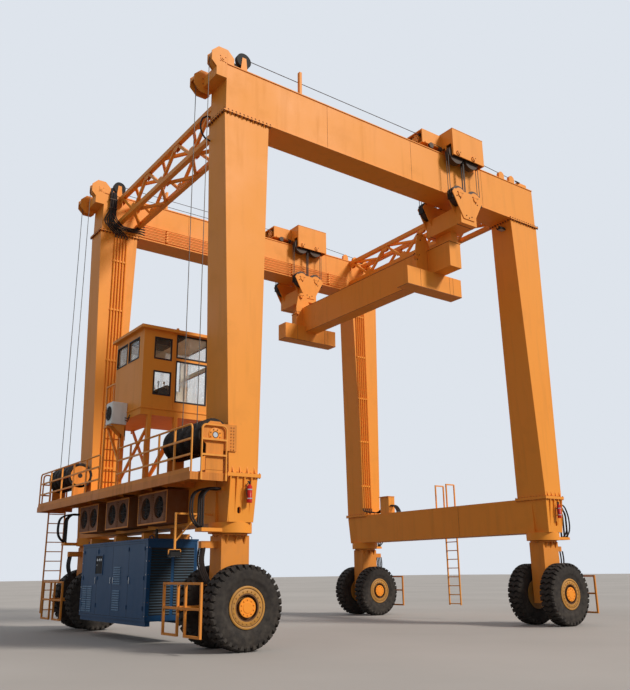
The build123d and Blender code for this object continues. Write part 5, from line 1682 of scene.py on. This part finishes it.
def louvre(length: float, height: float = 0.034, proud: float = 0.018) -> bpy.types.Object:
    """Models one louvre hood about the origin, looking towards -y.

    Args:
        length: Its length along x.
        height: Its height.
        proud: How far its lower edge stands out.

    Returns:
        The louvre.
    """
    outline = ((0.001, height / 2), (0.001, -height / 2), (-proud, -height / 2),
               (-proud * 0.8, -height * 0.2))
    shape = Shape().plate([Vector((-length / 2, y, z)) for y, z in outline], X * length)
    return shape.object("louvre", Palette.BLUE)


@dataclass
class GeneratorDressing(Dressing):
    """Doors, louvres, window and fittings of the generator housing."""

    left: float = -6.55
    right: float = -5.20
    near: float = -2.05
    far: float = 2.46
    low: float = 0.52
    high: float = 2.405
    slats: dict[float, Places] = field(default_factory=lambda: {0.34: [], 0.46: [], 0.54: []})
    trim: Shape = field(default_factory=Shape)
    dark: Shape = field(default_factory=Shape)
    bright: Shape = field(default_factory=Shape)

    def side_panel(self, panel: Panel) -> None:
        """Adds doors, louvre groups, window and handles on one long side.

        Args:
            panel: The side.
        """
        width, top = self.far - self.near, self.high - self.low
        for place in (0.14, 1.22, 2.30, 3.38, width - 0.14):
            panel.slab(self.dark, (place - 0.005, place + 0.005, 0.06, top - 0.06), 0.0, 0.0015)
        for level in (0.06, top - 0.06):
            panel.slab(self.dark, (0.14, width - 0.14, level - 0.004, level + 0.004), 0.0, 0.0015)
        self.slats[0.34] += [(panel.at(across, 0.14 + row * 0.058), panel.turns)
                             for row in range(12) for across in (0.33, 0.72)]
        self.slats[0.46] += [(panel.at(2.64, 0.22 + row * 0.058 + (0.12 if row > 8 else 0)), panel.turns)
                             for row in range(17)]
        panel.frame(self.trim, (1.05, 1.62, 1.08, 1.62), 0.035, 0.0, 0.012)
        panel.slab(self.dark, (1.085, 1.585, 1.115, 1.585), 0.0, 0.003)
        for across, up, radius in ((1.2, 1.48, 0.035), (1.34, 1.48, 0.035), (1.48, 1.48, 0.035),
                                   (1.2, 1.34, 0.02)):
            self.bright.rod(panel.at(across, up, 0.003), panel.at(across, up, 0.015), radius, 16)
        for across in (1.12, 2.22, 2.40, 3.46):
            panel.slab(self.bright, (across - 0.012, across + 0.012, 0.86, 1.02), 0.0, 0.02)
        for across, up in itertools.product((0.16, 1.24, 3.36, width - 0.16), (0.3, 1.0, 1.7)):
            self.trim.rod(panel.at(across, up - 0.05, 0.008), panel.at(across, up + 0.05, 0.008), 0.011, 8)

    def end_panel(self, panel: Panel) -> None:
        """Adds the louvre field of one short side.

        Args:
            panel: The side.
        """
        for across in (0.365, 0.985):
            self.slats[0.54] += [(panel.at(across, 0.18 + row * 0.064), panel.turns) for row in range(24)]
            panel.slab(self.dark, (across - 0.27, across + 0.27, 0.14, 0.18 + 24 * 0.064), 0.0, 0.002)
        rect = (0.012, self.right - self.left - 0.012, 0.01, self.high - self.low - 0.01)
        panel.frame(self.trim, rect, 0.05, 0.0, 0.006)

    def build(self) -> None:
        """Dresses the housing."""
        for x, y, facing in ((self.left, self.far, Facing.LEFT), (self.right, self.near, Facing.RIGHT)):
            self.side_panel(Panel(at(x, y, self.low), facing))
        for x, y, facing in ((self.left, self.near, Facing.NEAR), (self.right, self.far, Facing.FAR)):
            self.end_panel(Panel(at(x, y, self.low), facing))
        for length, places in self.slats.items():
            # The end panels' long louvres take the painted-shade teal, and the side panels' louvres take the
            # painted-highlight blue
            finish = Palette.LOUVRE_SHADED if length > 0.5 else Palette.LOUVRE_HIGHLIT
            self.tools.stamps.set(f"generator_louvres_{round(length * 100)}", louvre(length), places, finish)
        places = [(at(x, y, self.low + 0.12 + row * 0.32), out)
                  for x, y, out in ((self.left, self.near + 0.04, -X), (self.left + 0.04, self.near, -Y),
                                    (self.left, self.far - 0.04, -X)) for row in range(6)]
        self.tools.bolts.set("generator_screws", places, Palette.CHROME, 0.012, 0.008, slot="blue_paint")
        for x, y in itertools.product((-6.4, -5.35), (self.near + 0.15, self.far - 0.15)):
            eye = ((-0.05, 2.445), (-0.05, 2.50), (0.0, 2.53), (0.05, 2.50), (0.05, 2.445))
            self.trim.tube([at(x + reach, y, z) for reach, z in eye], 0.012)
        self.trim.piece("generator_trim", Palette.BLUE, bevel=0.0015)
        self.dark.piece("generator_gaps", Palette.DARK)
        self.bright.piece("generator_handles", Palette.CHROME, bevel=0.002, slot="white_plastic")
        foot = at(-6.2, -1.75, 2.44)
        stack = Shape().rod(foot, foot + Z * 0.26, 0.035, 16).rod(foot, foot + Z * 0.03, 0.07, 20)
        stack.piece("generator_stack", Palette.IRON)


@dataclass
class CabDressing(Dressing):
    """Window rubbers, lining, door, console and roof fittings of the cab."""

    outer: float = -7.07
    inner: float = -4.99
    near: float = -2.35
    far: float = -0.55
    floor: float = 5.62
    height: float = 2.08
    wall: float = 0.05
    # How far from the outer wall the ceiling's painted shade reaches
    ceiling_shade_reach: float = 1.3
    near_windows: tuple[Rect, ...] = ((0.31, 0.77, 1.32, 1.88), (0.31, 0.77, 0.38, 0.98),
                                      (0.93, 1.80, 1.42, 2.03), (0.93, 1.80, 0.24, 1.32))
    outer_windows: tuple[Rect, ...] = ((0.84, 1.50, 1.35, 1.90), (0.06, 0.71, 1.35, 1.90))
    inner_windows: tuple[Rect, ...] = ((0.15, 1.65, 1.42, 2.03), (0.15, 1.65, 0.24, 1.32))
    far_windows: tuple[Rect, ...] = ((0.18, 0.98, 0.95, 1.88),)
    rubber: Shape = field(default_factory=Shape)
    lining: Shape = field(default_factory=Shape)
    trim: Shape = field(default_factory=Shape)

    def walls(self) -> None:
        """Adds the window rubbers, the lining with its openings, the strips and the door."""
        length, depth, inside = self.inner - self.outer, self.far - self.near, self.wall + 0.012
        near = Panel(at(self.outer, self.near, self.floor), Facing.NEAR)
        left = Panel(at(self.outer, self.far, self.floor), Facing.LEFT)
        right = Panel(at(self.inner, self.near, self.floor), Facing.RIGHT)
        far = Panel(at(self.inner, self.far, self.floor), Facing.FAR)
        for panel, width, windows in ((near, length, self.near_windows), (left, depth, self.outer_windows),
                                      (right, depth, self.inner_windows), (far, length, self.far_windows)):
            for rect in windows:
                low_x, high_x, low_z, high_z = rect
                grown = (low_x - 0.018, high_x + 0.018, low_z - 0.018, high_z + 0.018)
                panel.frame(self.rubber, grown, 0.032, -0.004, 0.01)
                panel.frame(self.rubber, rect, 0.02, -0.024, 0.0)
            holes = [(rect[0] + 0.001, rect[1] - 0.001, *rect[2:]) for rect in windows]
            panel.lining(self.lining, (inside, width - inside, 0.004, self.height - 0.004), holes, -inside,
                         -self.wall - 0.0005)
        near.slab(self.trim, (0.86, 0.885, 0.02, self.height - 0.02), 0.0, 0.014)
        near.slab(self.trim, (0.0, length, -0.012, 0.02), 0.0, 0.02)
        left.slab(self.trim, (0.0, depth, -0.012, 0.02), 0.0, 0.02)
        far.frame(self.rubber, (0.10, 1.05, 0.03, 1.98), 0.014, 0.0, 0.006)
        far.slab(self.trim, (0.92, 0.98, 0.95, 1.06), 0.0, 0.04)
        for up in (0.3, 1.0, 1.7):
            far.slab(self.trim, (0.085, 0.125, up, up + 0.12), 0.0, 0.02)

    def console(self) -> None:
        """Sets the control desk and its levers inside the cab."""
        desk, levers = Shape(), Shape()
        outline = ((-6.45, 5.625), (-5.95, 5.625), (-5.95, 6.30), (-6.2, 6.38), (-6.45, 6.25))
        for y in (-1.95, -1.25):
            desk.plate([at(x, y, z) for x, z in outline], Y * 0.3)
            for x in (-6.38, -6.22):
                base = at(x, y + 0.15, 6.28)
                levers.rod(base, base + Z * 0.16, 0.012, 10)
                levers.rod(base + Z * 0.15, base + Z * 0.21, 0.026)
        desk.piece("cab_console", Palette.DARK, bevel=0.008)
        levers.piece("cab_levers", Palette.GREY, bevel=0.002)

    def build(self) -> None:
        """Dresses the cab."""
        self.walls()
        inside, top = self.wall + 0.012, self.floor + self.height
        low, high = top - 0.012, top - 0.001
        # The ceiling's outer part is black and the rest is cream lining: painted shade over the outer part of
        # the ceiling
        edge_x = self.outer + self.ceiling_shade_reach
        ceiling = Shape().block(at(self.outer + inside, self.near + inside, low),
                                at(edge_x, self.far - inside, high))
        ceiling.piece("cab_ceiling", Palette.DARK, slot="white_plastic")
        self.lining.block(at(edge_x, self.near + inside, low),
                          at(self.inner - inside, self.far - inside, high))
        for y in (self.near - 0.11, self.far + 0.098):
            self.trim.block(at(self.outer - 0.11, y, 7.688), at(self.inner + 0.11, y + 0.012, 7.70))
        vent = at(-6.12, -2.30, 7.77)
        self.trim.rod(vent, vent + Z * 0.03, 0.06, 18)
        self.trim.rod(vent + Z * 0.03, vent + Z * 0.09, 0.05, 18, 0.03)
        self.rubber.piece("cab_window_rubbers", Palette.HOSE, bevel=0.003)
        self.lining.piece("cab_lining", Palette.CREAM)
        self.trim.piece("cab_trim", Palette.ORANGE, bevel=0.002)
        self.console()


@dataclass
class ConditionerDressing(Dressing):
    """The air conditioner's casing with its fan, bracket and pipes."""

    front: float = -7.50
    back: float = -7.07
    near: float = -1.50
    far: float = -1.10
    low: float = 5.30
    high: float = 5.87
    blade: tuple[tuple[float, float], ...] = ((0.03, -0.02), (0.03, 0.03), (0.15, 0.07), (0.16, -0.01))

    def build(self) -> None:
        """Builds the casing in place of the plain one, and what hangs it."""
        casing, dark, grille, bracket, pipes = Shape(), Shape(), Shape(), Shape(), Shape()
        face_x = self.front + 0.022
        casing.block(at(face_x, self.near, self.low), at(self.back - 0.002, self.far, self.high))
        casing.piece("conditioner_casing", Palette.WHITE, bevel=0.012, instead_of=("air_conditioner",))
        middle = at(face_x, (self.near + self.far) / 2, (self.low + self.high) / 2)
        dark.rod(middle - X * 0.002, middle + X * 0.01, 0.18, 36)
        fan = RoundGrille(middle, 0.0035, 32)
        fan.guard(grille, (0.05, 0.08, 0.11, 0.14, 0.17, 0.185), 6, 0.187, -0.012)
        fan.blades(grille, 3, 0.9 / math.tau, self.blade, -0.003, -0.003)
        dark.piece("conditioner_dark", Palette.DARK)
        grille.piece("conditioner_grille", Palette.IRON)
        for y in (self.near + 0.05, self.far - 0.08):
            bracket.block(at(self.front + 0.04, y, self.low - 0.03), at(self.back, y + 0.03, self.low))
            outline = ((self.back, -0.03), (self.back, -0.30), (self.back - 0.03, -0.30),
                       (self.front + 0.08, -0.03))
            bracket.plate([at(x, y, self.low + drop) for x, drop in outline], Y * 0.03)
            bracket.block(at(self.back - 0.03, y, self.low - 0.40), at(self.back, y + 0.03, self.low - 0.03))
        bracket.piece("conditioner_bracket", Palette.RAIL, bevel=0.002)
        for level in (5.42, 5.48):
            line = ((-7.12, 0.002, 0.0), (-7.12, -0.06, -0.02), (-7.11, -0.14, -0.06), (-7.10, -0.18, -0.02),
                    (-7.085, -0.19, 0.03), (-7.068, -0.19, 0.05))
            pipes.tube([at(x, self.near + y, level + z) for x, y, z in line], 0.011)
        pipes.piece("conditioner_pipes", Palette.HOSE)


@dataclass
class View:
    """The camera at the photograph's angle, the pale floor and the soft light."""

    place: tuple[float, float, float] = (-14.519, -20.012, 1.616)
    yaw: float = 36.062
    pitch: float = 16.606
    roll: float = -0.646
    lens: float = 39.72
    floor_half: float = 220.0
    bounce: tuple[int, int, int] = (120, 115, 112)
    sky: float = 0.45
    sun: float = 2.85

    def camera(self) -> None:
        """Sets the camera."""
        yaw, pitch, roll = (math.radians(value) for value in (self.yaw, self.pitch, self.roll))
        ahead = X * math.sin(yaw) + Y * math.cos(yaw)
        forward = ahead * math.cos(pitch) + Z * math.sin(pitch)
        right = ahead.cross(Z)
        up = right.cross(forward)
        across = right * math.cos(roll) + up * math.sin(roll)
        above = up * math.cos(roll) - right * math.sin(roll)
        camera = bpy.data.cameras.new("view")
        camera.sensor_width = 36
        camera.lens = self.lens
        camera.clip_end = 2000
        holder = stand("view", camera)
        turn = Matrix((across, above, -forward)).transposed().to_4x4()
        holder.matrix_world = Matrix.Translation(at(*self.place)) @ turn
        bpy.context.scene.camera = holder

    def floor(self) -> None:
        """Lays the pale floor, which keeps the crane's shadow."""
        shape = Shape()
        corners = [at(x * self.floor_half, y * self.floor_half, -0.002) for x, y in CORNERS_ROUND]
        shape.mesh.faces.new([shape.mesh.verts.new(corner) for corner in corners])
        floor = shape.object("floor", Palette.WHITE)
        material = bpy.data.materials.new("pale_floor")
        material.use_nodes = True
        nodes = Nodes(material.node_tree)
        shader = material.node_tree.nodes["Principled BSDF"].inputs
        cast = nodes.ramp(nodes.noise(nodes.place(), 0.12, 6.0), 0.3, 0.75)
        seen = nodes.mix(cast, linear((178, 172, 166)), linear((164, 158, 152)))
        ray = nodes.out("ShaderNodeLightPath", output="Is Camera Ray")
        nodes.feed(shader["Base Color"], nodes.mix(ray, linear(self.bounce), seen))
        nodes.feed(shader["Roughness"], 0.85)
        floor.data.materials[0] = material

    def light(self) -> None:
        """Sets the pale sky and one broad lamp from the near right."""
        world = bpy.context.scene.world = bpy.data.worlds.new("pale_sky")
        world.use_nodes = True
        nodes, tree = Nodes(world.node_tree), world.node_tree.nodes
        ground = tree["Background"]
        nodes.feed(ground.inputs["Color"], linear((232, 236, 242)))
        nodes.feed(ground.inputs["Strength"], self.sky)
        seen = nodes.out("ShaderNodeBackground", {"Color": linear((222, 228, 236)), "Strength": 1.0})
        ray = nodes.add("ShaderNodeLightPath").outputs
        either = nodes.math("MAXIMUM", nodes.math("MAXIMUM", ray["Is Camera Ray"], ray["Is Glossy Ray"]),
                            ray["Is Transmission Ray"])
        both = nodes.out("ShaderNodeMixShader", {0: either, 1: ground.outputs[0], 2: seen})
        nodes.feed(tree["World Output"].inputs["Surface"], both)
        sun = bpy.data.lights.new("key", "SUN")
        sun.energy = self.sun
        sun.angle = math.radians(12)
        sun.color = (1.0, 0.95, 0.88)
        holder = stand("key", sun)
        holder.rotation_mode = "QUATERNION"
        holder.rotation_quaternion = Vector((-0.42, 0.78, -0.62)).to_track_quat("-Z", "Y")

    def build(self) -> None:
        """Sets the whole stage."""
        bpy.context.scene.view_settings.view_transform = "Standard"
        self.camera()
        self.floor()
        self.light()


def main() -> None:
    """Builds the stage and every sub-assembly in order."""
    logging.basicConfig(level=logging.INFO, format="%(message)s")
    View().build()
    tools = Tools()
    for kind in (CadDressing, WheelDressing, PortalDressing, ColumnDressing, HoseDressing, WinchDressing,
                 RopeHeadDressing, GirderRopes, RopeFalls, TrolleyDressing, LiftingDressing, DeckDressing,
                 GeneratorDressing, CabDressing, ConditionerDressing):
        LOG.info("%s", kind.__name__)
        kind(tools).build()


if __name__ == "__main__":
    main()
